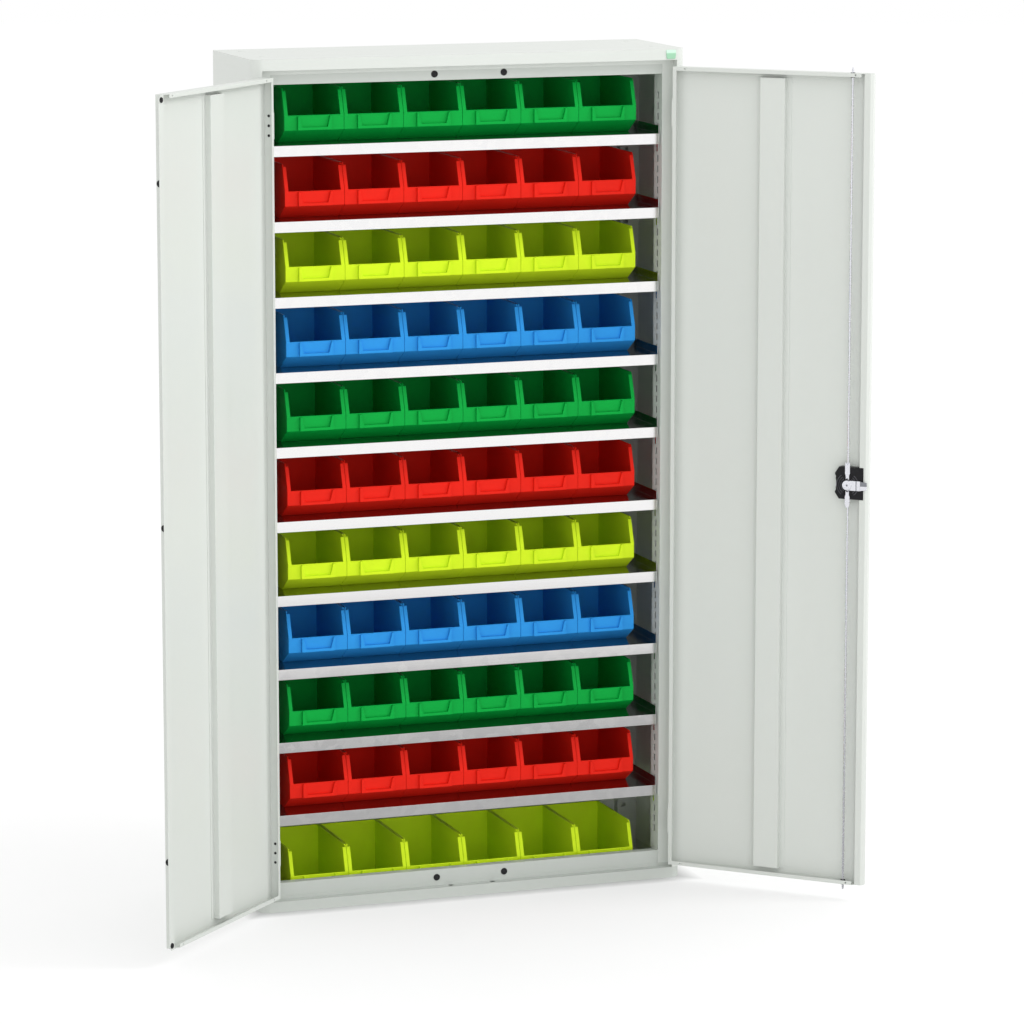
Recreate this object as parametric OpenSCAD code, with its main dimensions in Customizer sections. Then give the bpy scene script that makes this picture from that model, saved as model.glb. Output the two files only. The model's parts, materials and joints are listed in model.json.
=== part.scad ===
// Two-door steel cupboard with ten adjustable shelves and eleven rows of open-front parts bins.
// Millimetres. +Z is up, the doors face -Y, and the origin is on the floor under the middle of the case.

/* [Case] */
// Overall width of the case
cab_w = 1060; // [1020:5:1200]
// Overall depth of the case, without the open doors
cab_d = 325; // [320:5:420]
// Overall height of the case
cab_h = 2000; // [1990:5:2200]
// Thickness of the sheet steel
sheet = 1.2; // [0.8:0.1:1.6]
// Radius of the rounded front corners
corner_r = 26; // [24:1:32]
// Height of the lid's skirt
lid_h = 26; // [20:1:34]
// Height of the plinth
plinth_h = 25; // [20:1:34]
// Width of the rounded corner post beside each door
post_w = 23; // [21:0.5:24]

/* [Door frame] */
// How far the frame lies behind the front of the lid
frame_setback = 26; // [25.5:0.5:30]
// Width of the frame's face from the post to the perforated flange
stile_w = 26.5; // [22:0.5:30]
// Depth of the front upright's perforated flange
upright_depth = 50; // [40:1:60]
// Height of the top rail below the lid
top_rail_h = 34; // [26:1:44]
// Height of the bottom rail above the plinth
bottom_rail_h = 38.5; // [28:0.5:45]
// Depth of the rails' inner flange
rail_depth = 22; // [14:1:26]

/* [Uprights] */
// Height of the case that is left plain above and below the column of slots
slot_margin = 200; // [190:1:230]
// Number of slots in an upright
slot_count = 72; // [70:1:72]
// Height of a slot
slot_h = 16; // [14:1:18]
// Width of a slot
slot_w = 8; // [7:0.5:10]
// Side of a square hole in a rear upright
square_hole = 10; // [8:1:12]

/* [Shelves] */
// Number of shelves
shelf_count = 10; // [10:10]
// Slots from one shelf to the next
slots_per_shelf = 7; // [7:7]
// Distance from the top of the case down to the top shelf's surface
top_shelf_drop = 200.7; // [199:0.1:203]
// Height of a shelf's edge
shelf_edge = 25; // [20:1:30]
// How far a shelf's front lies behind the front of the lid
shelf_setback = 30; // [28:1:34]
// Height of the upstand at each end of a shelf
upstand_h = 18; // [10:1:24]
// Room between a shelf and the perforated flange
shelf_play = 2; // [1.6:0.2:3]
// Radius of a shelf's corners
shelf_r = 6; // [4:0.5:9]

/* [Bins] */
// Number of bins side by side
bins_per_row = 6; // [6:6]
// Outer width of a bin
bin_w = 144; // [130:0.5:144]
// Distance from one bin to the next
bin_pitch = 144.5; // [144.5:0.1:145.5]
// Length of a bin
bin_l = 237; // [225:1:245]
// Height of a bin
bin_h = 127; // [110:1:140]
// Wall thickness of a bin
bin_wall = 2.4; // [1.8:0.1:3]
// Height of the rim of the front wall
bin_rim_z = 66; // [58:1:74]
// Height of the lower edge of the front wall
bin_chin_z = 31; // [24:1:36]
// Distance from the front wall back to the foot
bin_foot_y = 50; // [40:1:60]
// How far the side walls lean back at the front
bin_lean = 21; // [14:1:28]
// Width of the flange along the front edges of the side walls
bin_flange_w = 9; // [6:0.5:11]
// Width of the label holder at its top
label_w = 80; // [70:1:90]
// How far the bins' fronts lie behind the front of the lid
bin_setback = 65; // [60:1:70]
// Sideways offset of the rows of bins
bin_shift = -3; // [-6:1:6]

/* [Doors] */
// Depth of a door
door_t = 24; // [22:0.5:24]
// Gap above and below a door
door_gap_z = 14; // [12:0.5:16]
// Gap between the two doors
meet_gap = 6; // [5:0.5:7]
// Gap between a door and its corner post
hinge_gap = 6; // [5.5:0.5:7]
// Width of the doors' inner lips
door_lip = 9; // [7:0.5:12]
// Angle that the doors stand open
door_open = 135; // [100:1:150]
// Depth of the right door's meeting edge
edge_depth = 17; // [15:0.5:17]
// Width of the right door's lip at its meeting edge
edge_lip = 15; // [12:0.5:17]
// Width of the left door's closing strip past its edge
strip_w = 20; // [14:0.5:20]
// Width of the face of a door stiffener
stiffener_w = 62; // [50:1:80]
// Height of a door stiffener
stiffener_h = 15; // [10:0.5:18]

/* [Hinges] */
// Height of a hinge
hinge_h = 61; // [50:1:80]
// Distance from a door's end to the middle of the hinge there
hinge_inset = 109; // [80:1:140]
// Radius of the hinge pins
pin_r = 2.5; // [2:0.1:2.8]
// Radius of the hinge knuckles
knuckle_r = 4.2; // [3.8:0.1:4.4]
// Running clearance of pins, rods and spindles
run_fit = 0.05; // [0.02:0.01:0.1]
// Distance between the screws of a hinge
hinge_screw_pitch = 22.5; // [16:0.5:24]

/* [Lock] */
// Height of the lock above the floor
lock_z = 998; // [900:1:1100]
// Distance from the right door's meeting edge to the lock's axis
lock_inset = 49.3; // [49:0.1:52]
// Radius of the lock rods
rod_r = 2.5; // [2:0.1:2.8]
// How far the rods reach past the door as it is shown
rod_reach = 13; // [10:0.5:13.2]
// Travel of a rod for each degree that the handle turns
rod_rate = 0.2; // [0.16:0.01:0.22]
// Turn of the handle from here to unlocked
unlock_turn = 65; // [50:1:65]
// Turn of the handle from here to fully locked
lock_turn = 25; // [15:1:25]
// Distance of the rods' drive pins from the axis
cam_pin_at = 21; // [19:0.5:22]
// Radius of the drive pins
cam_pin_r = 2; // [1.6:0.1:2.2]
// Length of the latch tongue from the axis
tongue_l = 49; // [46:0.5:50]
// Length of the handle's grip from the axis
grip_l = 112; // [90:1:130]

/* [Hidden] */
$fn = 48;
cut = 1;                                    // how far a cutter reaches past what it cuts

// Colours
paint = [0.87, 0.89, 0.86];
zinc = [0.80, 0.80, 0.83];
black = [0.08, 0.09, 0.09];
mint = [0.67, 0.86, 0.74];
row_colours = [[0.03, 0.62, 0.22], [0.93, 0.12, 0.07], [0.76, 0.95, 0.11], [0.05, 0.25, 0.75]];

// Main planes of the case
half_w = cab_w / 2;
front = -cab_d / 2;
back = cab_d / 2;
lid_z = cab_h - lid_h;
frame_y = front + frame_setback;
post_x = half_w - post_w;                   // the post's face beside the door
flange_x = post_x - stile_w;                // the perforated flange's inner face
inner_back = back - sheet;
ledge_d = frame_setback + rail_depth + 2;   // depth of the lid's and plinth's front ledge
lid_lip = 11;                               // height of the fold behind the door's ends
plinth_lip = 6.5;

// Uprights. The slots share out the height, 25 mm apart in the usual case
slot_pitch = (cab_h - slot_margin) / slot_count;
top_shelf_z = cab_h - top_shelf_drop;
upright_return = 15;
rear_upright_d = 23.8;
rear_face_y = inner_back - rear_upright_d;
front_slot_y = frame_y + 27;
rear_slot_y = rear_face_y + 8;
slots_above_shelf = 3.5;                    // from the top shelf's surface up to the top slot
slot_offset = 1.2;
top_slot_z = top_shelf_z + slots_above_shelf * slot_pitch + slot_offset;

// Shelves
shelf_pitch = slots_per_shelf * slot_pitch;
shelf_half = flange_x - shelf_play;
shelf_front = front + shelf_setback;
shelf_back = inner_back - 3;
clip_ledge = 12;
clip_t = 1.6;
clip_z = top_slot_z - 5 * slot_pitch - top_shelf_z;   // the clip's slot, from its shelf's surface
hook_play = 0.5;

// Doors, drawn closed and then swung open about their pins
door_z0 = plinth_h + door_gap_z;
door_z1 = lid_z - door_gap_z;
door_mid_z = (door_z0 + door_z1) / 2;
door_h = door_z1 - door_z0;
door_x = post_x - hinge_gap;                // the door's flange beside the post
edge_x = meet_gap / 2;
pin_x = post_x - hinge_gap / 2;
pin_y = front - 2;
edge_bend = 5.5;                            // slope between the meeting edge and its lip
strip_y = edge_depth + 1.5;                 // depth of the closing strip behind the other door
strip_corner = 9;
hinge_zs = [door_z0 + hinge_inset, door_z1 - hinge_inset];
stiffener_x = (edge_x + door_x) / 2;
stiffener_foot = 13;
stiffener_end = 18;
buffer_r = 8;
buffer_x = 85;
buffer_gap = 0.3;
edge_buffer_low = 200;                      // from the door's ends to the buffers on its edge
edge_buffer_high = 195;

// Hinges
knuckle_gap = 0.3;
knuckle_room = 0.5;
door_knuckle_h = hinge_h * 0.5;
leaf_t = 2.2;
leaf_start = knuckle_r + 0.6;
leaf_root = pin_r + 0.2;
screw_r = 1.9;
screw_head_r = 3.2;
screw_head_t = 1.4;
screw_play = 0.1;

// Lock, as depths behind the right door's front
lock_x = edge_x + lock_inset;
rod_d = 17;                                 // depth of the rods' centre line
keeper_r = 6.4;                             // holes in the lid and plinth for the rods
cover_d = edge_depth + 1;                   // depth of the cover's face
cover_wall = 2.4;
cover_left = 32;
cover_right = 38.8;
cover_low = -33.5;
cover_high = 42.5;
cam_t = 3;
cam_d = cover_d - cover_wall - 0.6 - cam_t;
cam_r = 31;
bar_d = cover_d + 0.3;
bar_t = 2.4;
bar_w = 12;
bar_play = 0.3;
rod_in = rod_rate * unlock_turn;            // how far the rods draw in as the lock opens
bar_from = rod_in + bar_play;
bar_l = 54;
tongue_step = 1;
tongue_d = bar_d + bar_t + tongue_step + bar_play;
tongue_t = 2.6;
tongue_hub_r = 11.6;
spindle_r = 4.5;
shank_r = 3.2;                              // the spindle's end, between the bars
slot_play = 0.3;
guide_r = 5.5;
guide_t = 9;
guide_neck_r = guide_r - 1.5;
plate_t = 7;
plate_w = 34;
plate_h = 120;
plate_screw_z = plate_h / 2 - 14;
hub_r = 15;
hub_t = 22;
barrel_r = 8;
barrel_l = 12;
handle_front = -plate_t - hub_t;
spindle_front = handle_front + barrel_l + 1;

// ---------------------------------------------------------------- helpers

// A box from its low corner to its high corner
module slab(low, high) translate(low) cube(high - low);

// Both hands of a piece that is drawn on the right
module both_sides() {
    children();
    mirror([1, 0, 0]) children();
}

// A flat pattern in X and Z, pushed back from y0 to y1
module along_y(y0, y1) translate([0, y1, 0]) rotate([90, 0, 0]) linear_extrude(y1 - y0) children();

// A flat pattern in Y and Z, pushed along X from x0 to x1
module along_x(x0, x1) translate([x0, 0, 0]) rotate([90, 0, 90]) linear_extrude(x1 - x0) children();

// A flat pattern seen from above, raised from z0 to z1
module along_z(z0, z1) translate([0, 0, z0]) linear_extrude(z1 - z0) children();

// Folded sheet: a strip that follows a path, with its thickness on the path's left
function unit(v) = v / norm(v);
function left_of(v) = [-v[1], v[0]];
function strip_point(p, i, t) =
    i == 0 ? p[0] + t * left_of(unit(p[1] - p[0]))
    : i == len(p) - 1 ? p[i] + t * left_of(unit(p[i] - p[i - 1]))
    : let (a = left_of(unit(p[i] - p[i - 1])), b = left_of(unit(p[i + 1] - p[i])), m = unit(a + b))
        p[i] + t / (m * a) * m;
module folded(p, t = sheet) polygon(concat(p, [for (i = [len(p) - 1:-1:0]) strip_point(p, i, t)]));

module left_open() translate([-pin_x, pin_y, 0]) rotate([0, 0, -door_open])
    translate([pin_x, -pin_y, 0]) children();

module right_open() translate([pin_x, pin_y, 0]) rotate([0, 0, door_open])
    translate([-pin_x, -pin_y, 0]) children();

// The lock's own frame: its axis at X = Z = 0, and Y is the depth behind the door's front
module at_lock() right_open() translate([lock_x, front, lock_z]) children();

// Outline of the case from above, drawn in by inset
module case_outline(inset = 0) {
    translate([-half_w + inset, front + corner_r]) square([cab_w - 2 * inset, cab_d - corner_r - inset]);
    translate([-half_w + corner_r, front + inset]) square([cab_w - 2 * corner_r, corner_r]);
    for (side = [-1, 1]) translate([side * (half_w - corner_r), front + corner_r])
        circle(corner_r - inset, $fn = 96);
}

// ---------------------------------------------------------------- case

module skirt(z, h) along_z(z, z + h) difference() {
    case_outline();
    case_outline(sheet);
}

// The ledge behind the lid's or plinth's skirt, with the holes that the lock rods enter
module front_ledge(z) along_z(z, z + sheet) difference() {
    intersection() {
        case_outline();
        translate([-half_w, front]) square([cab_w, ledge_d]);
    }
    for (side = [-1, 1]) translate([side * lock_x, front + rod_d]) circle(keeper_r);
}

// The fold that stands against the frame's face behind the doors' ends
module ledge_lip(z0, z1) slab([-post_x, frame_y - sheet, z0], [post_x, frame_y, z1]);

plug_r = 5;
plug_inset = 50;                            // from the case's sides to the plugs
plug_from_front = 95;
plug_from_back = 60;
plug_xs = [plug_inset - half_w, half_w - plug_inset];
plug_ys = [front + plug_from_front, back - plug_from_back];

module lid() color(paint) difference() {
    union() {
        skirt(lid_z, lid_h);
        along_z(cab_h - sheet, cab_h) case_outline();
        front_ledge(lid_z);
        ledge_lip(lid_z - lid_lip, lid_z + sheet);
    }
    for (x = plug_xs, y = plug_ys) translate([x, y, cab_h - sheet - cut])
        cylinder(sheet + 2 * cut, r = plug_r);
}

// Press-in plugs that close the lid's lifting holes
module lid_plugs() color(paint) for (x = plug_xs, y = plug_ys) translate([x, y, cab_h - sheet - 4]) {
    difference() {
        cylinder(sheet + 4, r = plug_r - run_fit);
        translate([0, 0, -cut]) cylinder(4, r = plug_r - 1.2);
    }
    translate([0, 0, sheet + 4]) cylinder(0.6, r = plug_r + 1.5);
}

// Plain moulded cap on the right front corner of the lid
cap_w = 24;
cap_h = 20;
module corner_cap() color(mint)
    translate([half_w - corner_r - cap_w, front - 1, lid_z + (lid_h - cap_h) / 2]) cube([cap_w, 1, cap_h]);

module back_panel() color(paint) slab([-half_w, inner_back, plinth_h], [half_w, back, lid_z]);

// Side panel with its rounded front post, the return beside the door and a rear flange
module side_panel() difference() {
    along_z(plinth_h, lid_z) {
        intersection() {
            difference() {
                case_outline();
                case_outline(sheet);
            }
            translate([post_x, front]) square([post_w, cab_d - sheet]);
        }
        folded([[post_x, frame_y + 8], [post_x, front + 0.5]]);
        translate([half_w - 20, inner_back - sheet]) square([20, sheet]);
    }
    for (z = hinge_zs) knuckle_notch(z);
}

module left_side_panel() color(paint) mirror([1, 0, 0]) side_panel();

module right_side_panel() color(paint) side_panel();

// Tray that the case stands on, with the ledge below the doors
module base_plinth() color(paint) {
    skirt(0, plinth_h);
    along_z(0, sheet) case_outline();
    front_ledge(plinth_h - sheet);
    ledge_lip(plinth_h - sheet, plinth_h + plinth_lip);
}

module top_rail() color(paint) along_x(-flange_x, flange_x) folded([[frame_y, lid_z],
    [frame_y, lid_z - top_rail_h], [frame_y + rail_depth, lid_z - top_rail_h],
    [frame_y + rail_depth, lid_z - top_rail_h + 10]]);

module bottom_rail() color(paint) along_x(-flange_x, flange_x) folded([
    [frame_y + rail_depth, plinth_h + bottom_rail_h - 10],
    [frame_y + rail_depth, plinth_h + bottom_rail_h], [frame_y, plinth_h + bottom_rail_h],
    [frame_y, plinth_h]]);

// A column of slots or square holes, drawn about their own middle line
module slot_column(w, h) for (i = [0:slot_count - 1])
    translate([-w / 2, top_slot_z - i * slot_pitch - h / 2]) square([w, h]);

module front_upright() difference() {
    along_z(plinth_h, lid_z) folded([[flange_x + upright_return, frame_y + upright_depth],
        [flange_x, frame_y + upright_depth], [flange_x, frame_y], [post_x, frame_y]]);
    along_x(flange_x - cut, flange_x + sheet + cut) translate([front_slot_y, 0]) slot_column(slot_w, slot_h);
}

module front_left_upright() color(paint) mirror([1, 0, 0]) front_upright();

module front_right_upright() color(paint) front_upright();

module rear_upright() difference() {
    along_z(sheet, lid_z) folded([[flange_x, inner_back], [flange_x, rear_face_y],
        [half_w - sheet, rear_face_y]]);
    along_y(rear_face_y - cut, rear_face_y + sheet + cut) translate([flange_x + 15, 0])
        slot_column(square_hole, square_hole);
    along_x(flange_x - cut, flange_x + sheet + cut) translate([rear_slot_y, 0]) slot_column(slot_w, slot_h);
}

module rear_left_upright() color(paint) mirror([1, 0, 0]) rear_upright();

module rear_right_upright() color(paint) rear_upright();

// ---------------------------------------------------------------- shelves

function shelf_z(k) = top_shelf_z - k * shelf_pitch;

// Outline of a shelf from above, drawn in by inset
module shelf_outline(inset = 0) {
    translate([-shelf_half + inset, shelf_front + shelf_r])
        square([2 * (shelf_half - inset), shelf_back - shelf_front - shelf_r - inset]);
    translate([-shelf_half + shelf_r, shelf_front + inset])
        square([2 * (shelf_half - shelf_r), shelf_r]);
    for (side = [-1, 1]) translate([side * (shelf_half - shelf_r), shelf_front + shelf_r])
        circle(shelf_r - inset);
}

// Tray turned upside down, with a hem under its front and an upstand at each end
module shelf(k) translate([0, 0, shelf_z(k)]) {
    along_z(-sheet, 0) shelf_outline();
    along_z(-shelf_edge, -sheet) difference() {
        shelf_outline();
        shelf_outline(sheet);
    }
    slab([-shelf_half + shelf_r, shelf_front, -shelf_edge],
        [shelf_half - shelf_r, shelf_front + 12, -shelf_edge + sheet]);
    both_sides() slab([shelf_half - sheet, shelf_front + shelf_r + 3, -sheet],
        [shelf_half, shelf_back - 4, upstand_h]);
}

module shelf_01() color(zinc) shelf(0);

module shelf_02() color(zinc) shelf(1);

module shelf_03() color(zinc) shelf(2);

module shelf_04() color(zinc) shelf(3);

module shelf_05() color(zinc) shelf(4);

module shelf_06() color(zinc) shelf(5);

module shelf_07() color(zinc) shelf(6);

module shelf_08() color(zinc) shelf(7);

module shelf_09() color(zinc) shelf(8);

module shelf_10() color(zinc) shelf(9);

// Clip that hooks into a slot and carries one corner of a shelf: a seat, a neck and a hook
module shelf_clip() {
    slot_foot = clip_z - slot_h / 2;
    hook_x = flange_x + sheet + hook_play;
    along_y(-slot_w / 2 + hook_play, slot_w / 2 - hook_play) {
        translate([flange_x - clip_t, slot_foot]) square([clip_t, -2 - slot_foot]);
        translate([flange_x - clip_ledge, -shelf_edge - clip_t]) square([clip_ledge, clip_t]);
        translate([flange_x - clip_t, clip_z]) square([hook_x - flange_x + 2 * clip_t, slot_h / 2 - 1]);
        translate([hook_x, slot_foot - 3]) square([clip_t, clip_z - slot_foot + 4]);
    }
}

module shelf_clips() color(zinc) both_sides() for (k = [0:shelf_count - 1], y = [front_slot_y, rear_slot_y])
    translate([0, y, shelf_z(k)]) shelf_clip();

// Rubber stops that the closed doors rest against
module rail_buffers() color(black) both_sides()
    for (z = [door_z0 + door_lip / 2 + 1, door_z1 - door_lip / 2 - 1])
        translate([buffer_x, frame_y, z]) rotate([90, 0, 0])
            cylinder(frame_setback - door_t - buffer_gap, r = buffer_r);

// ---------------------------------------------------------------- hinges

module knuckle(z0, z1) translate([pin_x, pin_y, z0]) difference() {
    cylinder(z1 - z0, r = knuckle_r);
    translate([0, 0, -cut]) cylinder(z1 - z0 + 2 * cut, r = pin_r + run_fit);
}

// Room round a hinge in the door's corner and in the corner post
module knuckle_notch(z) translate([pin_x, pin_y, z - hinge_h / 2 - knuckle_room])
    cylinder(hinge_h + 2 * knuckle_room + 2, r = knuckle_r + knuckle_room);

// Leaf on the corner post, with a knuckle above and below the door's
module frame_leaf(z) {
    low = z - hinge_h / 2;
    high = z + hinge_h / 2;
    reach = door_knuckle_h / 2 + knuckle_gap;
    slab([post_x - leaf_t, pin_y + leaf_start, low], [post_x, front + door_t, high]);
    for (span = [[low, z - reach], [z + reach, high]]) {
        knuckle(span[0], span[1]);
        slab([post_x - leaf_t, pin_y + leaf_root, span[0]], [post_x, pin_y + leaf_start, span[1]]);
    }
}

module hinge_frame_leaves() color(paint) both_sides() for (z = hinge_zs) frame_leaf(z);

module hinge_pins() color(zinc) both_sides() for (z = hinge_zs)
    translate([pin_x, pin_y, z - hinge_h / 2]) {
        cylinder(hinge_h, r = pin_r);
        translate([0, 0, hinge_h]) cylinder(1.5, r = pin_r + 1);
    }

// Leaf on the door's flange, with the middle knuckle and three screw holes
module door_leaf(z) difference() {
    union() {
        knuckle(z - door_knuckle_h / 2, z + door_knuckle_h / 2);
        slab([door_x, pin_y + leaf_start, z - hinge_h / 2],
            [door_x + leaf_t, front + door_t, z + hinge_h / 2]);
        slab([door_x, pin_y + leaf_root, z - door_knuckle_h / 2],
            [door_x + leaf_t, pin_y + leaf_start, z + door_knuckle_h / 2]);
    }
    hinge_screw_holes(z);
}

module hinge_screw_holes(z) for (i = [-1:1])
    translate([door_x - sheet - cut, front + door_t / 2, z + i * hinge_screw_pitch])
        rotate([0, 90, 0]) cylinder(sheet + leaf_t + 2 * cut, r = screw_r + screw_play);

module hinge_screws() for (z = hinge_zs, i = [-1:1])
    translate([door_x - sheet, front + door_t / 2, z + i * hinge_screw_pitch]) rotate([0, 90, 0]) {
        translate([0, 0, -screw_head_t]) difference() {
            cylinder(screw_head_t, r = screw_head_r);
            translate([0, 0, -cut]) cylinder(cut + 0.8, r = 1.4, $fn = 6);
        }
        cylinder(sheet + leaf_t - 0.2, r = screw_r);
    }

module left_hinge_leaves() color(paint) left_open() mirror([1, 0, 0]) for (z = hinge_zs) door_leaf(z);

module right_hinge_leaves() color(paint) right_open() for (z = hinge_zs) door_leaf(z);

module left_hinge_screws() color(black) left_open() mirror([1, 0, 0]) hinge_screws();

module right_hinge_screws() color(black) right_open() hinge_screws();

// ---------------------------------------------------------------- doors

// Pan of a door, drawn closed on the right: its section is folded from the meeting edge,
// whose points come as depths behind the door's front, round to the lip beside the hinges
module door_pan(edge, lip_x) {
    edge_points = [for (p = edge) [p[0], front + p[1]]];
    difference() {
        along_z(door_z0, door_z1) folded(concat(edge_points, [[edge_x, front], [door_x, front],
            [door_x, front + door_t], [door_x - door_lip, front + door_t]]));
        for (z = hinge_zs) {
            hinge_screw_holes(z);
            knuckle_notch(z);
        }
    }
    // Ends of the pan, each with its lip
    for (z = [door_z0, door_z1 - sheet]) along_z(z, z + sheet)
        polygon(concat([[lip_x, front + door_t], [lip_x - 8, edge_points[1][1]]], [for (i = [1:len(edge) - 1]) edge_points[i]],
            [[edge_x, front], [door_x, front], [door_x, front + door_t]]));
    along_y(front + door_t - sheet, front + door_t) difference() {
        for (z = [door_z0, door_z1 - door_lip]) translate([lip_x, z]) square([door_x - lip_x, door_lip]);
        for (z = [door_z0, door_z1 - door_lip], x = [lip_x + 14, door_x - 31])
            translate([x, z + door_lip / 2]) circle(2.2);
    }
}

// The left door's strip reaches past its edge, behind the right door
module left_door() color(paint) left_open() mirror([1, 0, 0]) difference() {
    door_pan([[edge_x - strip_w, strip_y], [edge_x, strip_y]], edge_x + 20);
    for (end = [[door_z0, 1], [door_z1, -1]])
        along_y(front + strip_y - cut, front + strip_y + sheet + cut)
            translate([edge_x - strip_w, end[0]]) rotate(45)
                square(strip_corner * sqrt(2), center = true);
}

module right_door() color(paint) right_open() difference() {
    door_pan([[edge_x + edge_bend + edge_lip, edge_depth], [edge_x + edge_bend, edge_depth],
        [edge_x, edge_depth - edge_bend]], edge_x + 26);
    translate([lock_x, front - cut, lock_z]) rotate([-90, 0, 0])
        cylinder(sheet + 2 * cut, r = spindle_r + 1);
    for (z = [door_z0, door_z1]) translate([lock_x, front + rod_d, z - 2 * sheet])
        cylinder(4 * sheet, r = guide_neck_r + run_fit);
}

// Hat-shaped stiffener, welded to the inside of the door's sheet
module stiffener() along_z(door_z0 + stiffener_end, door_z1 - stiffener_end)
    translate([stiffener_x, front + sheet]) {
        half = stiffener_w / 2 - sheet;
        folded([[-half - stiffener_foot, 0], [-half, 0], [-half, stiffener_h - sheet],
            [half, stiffener_h - sheet], [half, 0], [half + stiffener_foot, 0]]);
    }

module left_door_stiffener() color(paint) left_open() mirror([1, 0, 0]) stiffener();

module right_door_stiffener() color(paint) right_open() stiffener();

// Rubber stops on the closing strip's ends and on the left door's meeting edge
module left_door_buffers() color(black) left_open() {
    for (z = [door_z0 + buffer_r + 3, door_z1 - buffer_r - 3])
        translate([-edge_x + strip_w / 2, front + strip_y + sheet, z]) rotate([-90, 0, 0])
            cylinder(2.5, r = buffer_r - 1.8);
    for (z = [door_z0 + edge_buffer_low, door_mid_z, door_z1 - edge_buffer_high])
        translate([-edge_x, front + strip_y / 2, z]) rotate([0, 90, 0])
            cylinder(edge_x - 0.6, r = buffer_r);
}

// ---------------------------------------------------------------- lock

// Where a drive pin's centre lies in the cam, and the direction square to its path
function on_spiral(turn) = (cam_pin_at + rod_rate * turn) * [cos(90 - turn), sin(90 - turn)];
function off_spiral(turn) = left_of(unit(on_spiral(turn + 1) - on_spiral(turn - 1)));

// Slot that moves a drive pin in or out at an even rate as the cam turns
module spiral_slot() {
    half = cam_pin_r + slot_play;
    turns = [for (i = [0:12]) -unlock_turn + (unlock_turn + lock_turn) * i / 12];
    function side(t, way) = on_spiral(t) + way * half * off_spiral(t);
    function round_end(t, from) = let (v = off_spiral(t), a = atan2(v[1], v[0]) + from)
        [for (s = [20:20:160]) on_spiral(t) + half * [cos(a - s), sin(a - s)]];
    polygon(concat([for (t = turns) side(t, 1)], round_end(lock_turn, 0),
        [for (i = [12:-1:0]) side(turns[i], -1)], round_end(-unlock_turn, 180)));
}

// Cam plate with its two spiral slots, on the spindle that joins the handle and the tongue
module lock_cam() color(zinc) at_lock() {
    along_y(cam_d, cam_d + cam_t) difference() {
        circle(cam_r, $fn = 96);
        for (turn = [0, 180]) rotate(turn) spiral_slot();
    }
    along_y(spindle_front, cam_d + cam_t) circle(spindle_r);
    along_y(cam_d, tongue_d) circle(shank_r);
}

// Outline of the lock's cover, with the corners on the hinge side cut off
module cover_outline() polygon([[-cover_right, cover_low], [cover_left - 10, cover_low],
    [cover_left, cover_low + 15], [cover_left, cover_high - 15], [cover_left - 10, cover_high],
    [-cover_right, cover_high]]);

// Moulded cover over the cam, with ribbed arcs, slots for the drive pins and a step over the lip
module lock_cover() color(black) at_lock() {
    pin_slot_from = cam_pin_at - rod_in - cam_pin_r - 1;
    pin_slot_to = cam_pin_at + rod_rate * lock_turn + cam_pin_r + 1;
    groove = rod_r + 0.5;
    groove_from = bar_l - 10 - rod_in - 1;
    lip_end = edge_bend + edge_lip + 0.4 - lock_inset;
    difference() {
        along_y(sheet, cover_d) cover_outline();
        along_y(sheet - cut, edge_depth) translate([-cover_right - cut, cover_low - cut])
            square([lip_end + cover_right + cut, cover_high - cover_low + 2 * cut]);
        along_y(sheet - cut, cover_d - cover_wall) circle(cam_r + 0.8, $fn = 96);
        along_y(sheet - cut, cover_d + cut) {
            circle(spindle_r + 0.8);
            for (flip = [0, 180]) rotate(flip) translate([-cam_pin_r - 0.5, pin_slot_from])
                square([2 * cam_pin_r + 1, pin_slot_to - pin_slot_from]);
        }
        along_y(rod_d - groove, cover_d + cut) for (flip = [0, 180]) rotate(flip)
            translate([-groove, groove_from]) square([2 * groove, cover_high]);
    }
    along_y(cover_d, cover_d + 1.2) difference() {
        intersection() {
            for (r = [16, 21, 26]) difference() {
                circle(r + 1);
                circle(r - 1);
            }
            translate([-cam_r, -cam_r]) square(2 * cam_r);
        }
        translate([-bar_w / 2 - 1.5, -cam_r]) square([bar_w + 3, 2 * cam_r]);
    }
}

// Flat bar, notched for the spindle's end, with its drive pin and the round rod that it carries
// to the guide
module lock_rod(tip) {
    along_y(bar_d, bar_d + bar_t) difference() {
        polygon([[-bar_w / 2, bar_from], [bar_w / 2, bar_from],
            [bar_w / 2, bar_l - 8], [rod_r, bar_l], [-rod_r, bar_l], [-bar_w / 2, bar_l - 8]]);
        translate([0, rod_in]) circle(shank_r + bar_play);
    }
    translate([0, cam_d, cam_pin_at]) rotate([-90, 0, 0]) cylinder(bar_d - cam_d + cut, r = cam_pin_r);
    translate([0, rod_d, bar_l - 10]) cylinder(tip - 5 - bar_l + 10, r = rod_r);
    translate([0, rod_d, tip - 5]) cylinder(5, r1 = rod_r, r2 = rod_r - 1);
}

module upper_rod() color(zinc) at_lock() lock_rod(door_z1 - lock_z + rod_reach);

module lower_rod() color(zinc) at_lock() rotate([0, 180, 0]) lock_rod(lock_z - door_z0 + rod_reach);

// Guides that the rods run in, clipped through the door's ends
module rod_guides() color(black) right_open() for (end = [[door_z0, 0], [door_z1, 180]])
    translate([lock_x, front + rod_d, end[0]]) rotate([0, end[1], 0]) difference() {
        union() {
            translate([0, 0, -1]) cylinder(1, r = guide_r);
            cylinder(sheet, r = guide_neck_r);
            translate([0, 0, sheet]) cylinder(guide_t, r = guide_r);
        }
        translate([0, 0, -1 - cut]) cylinder(guide_t + sheet + 1 + 2 * cut, r = rod_r + run_fit);
    }

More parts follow.
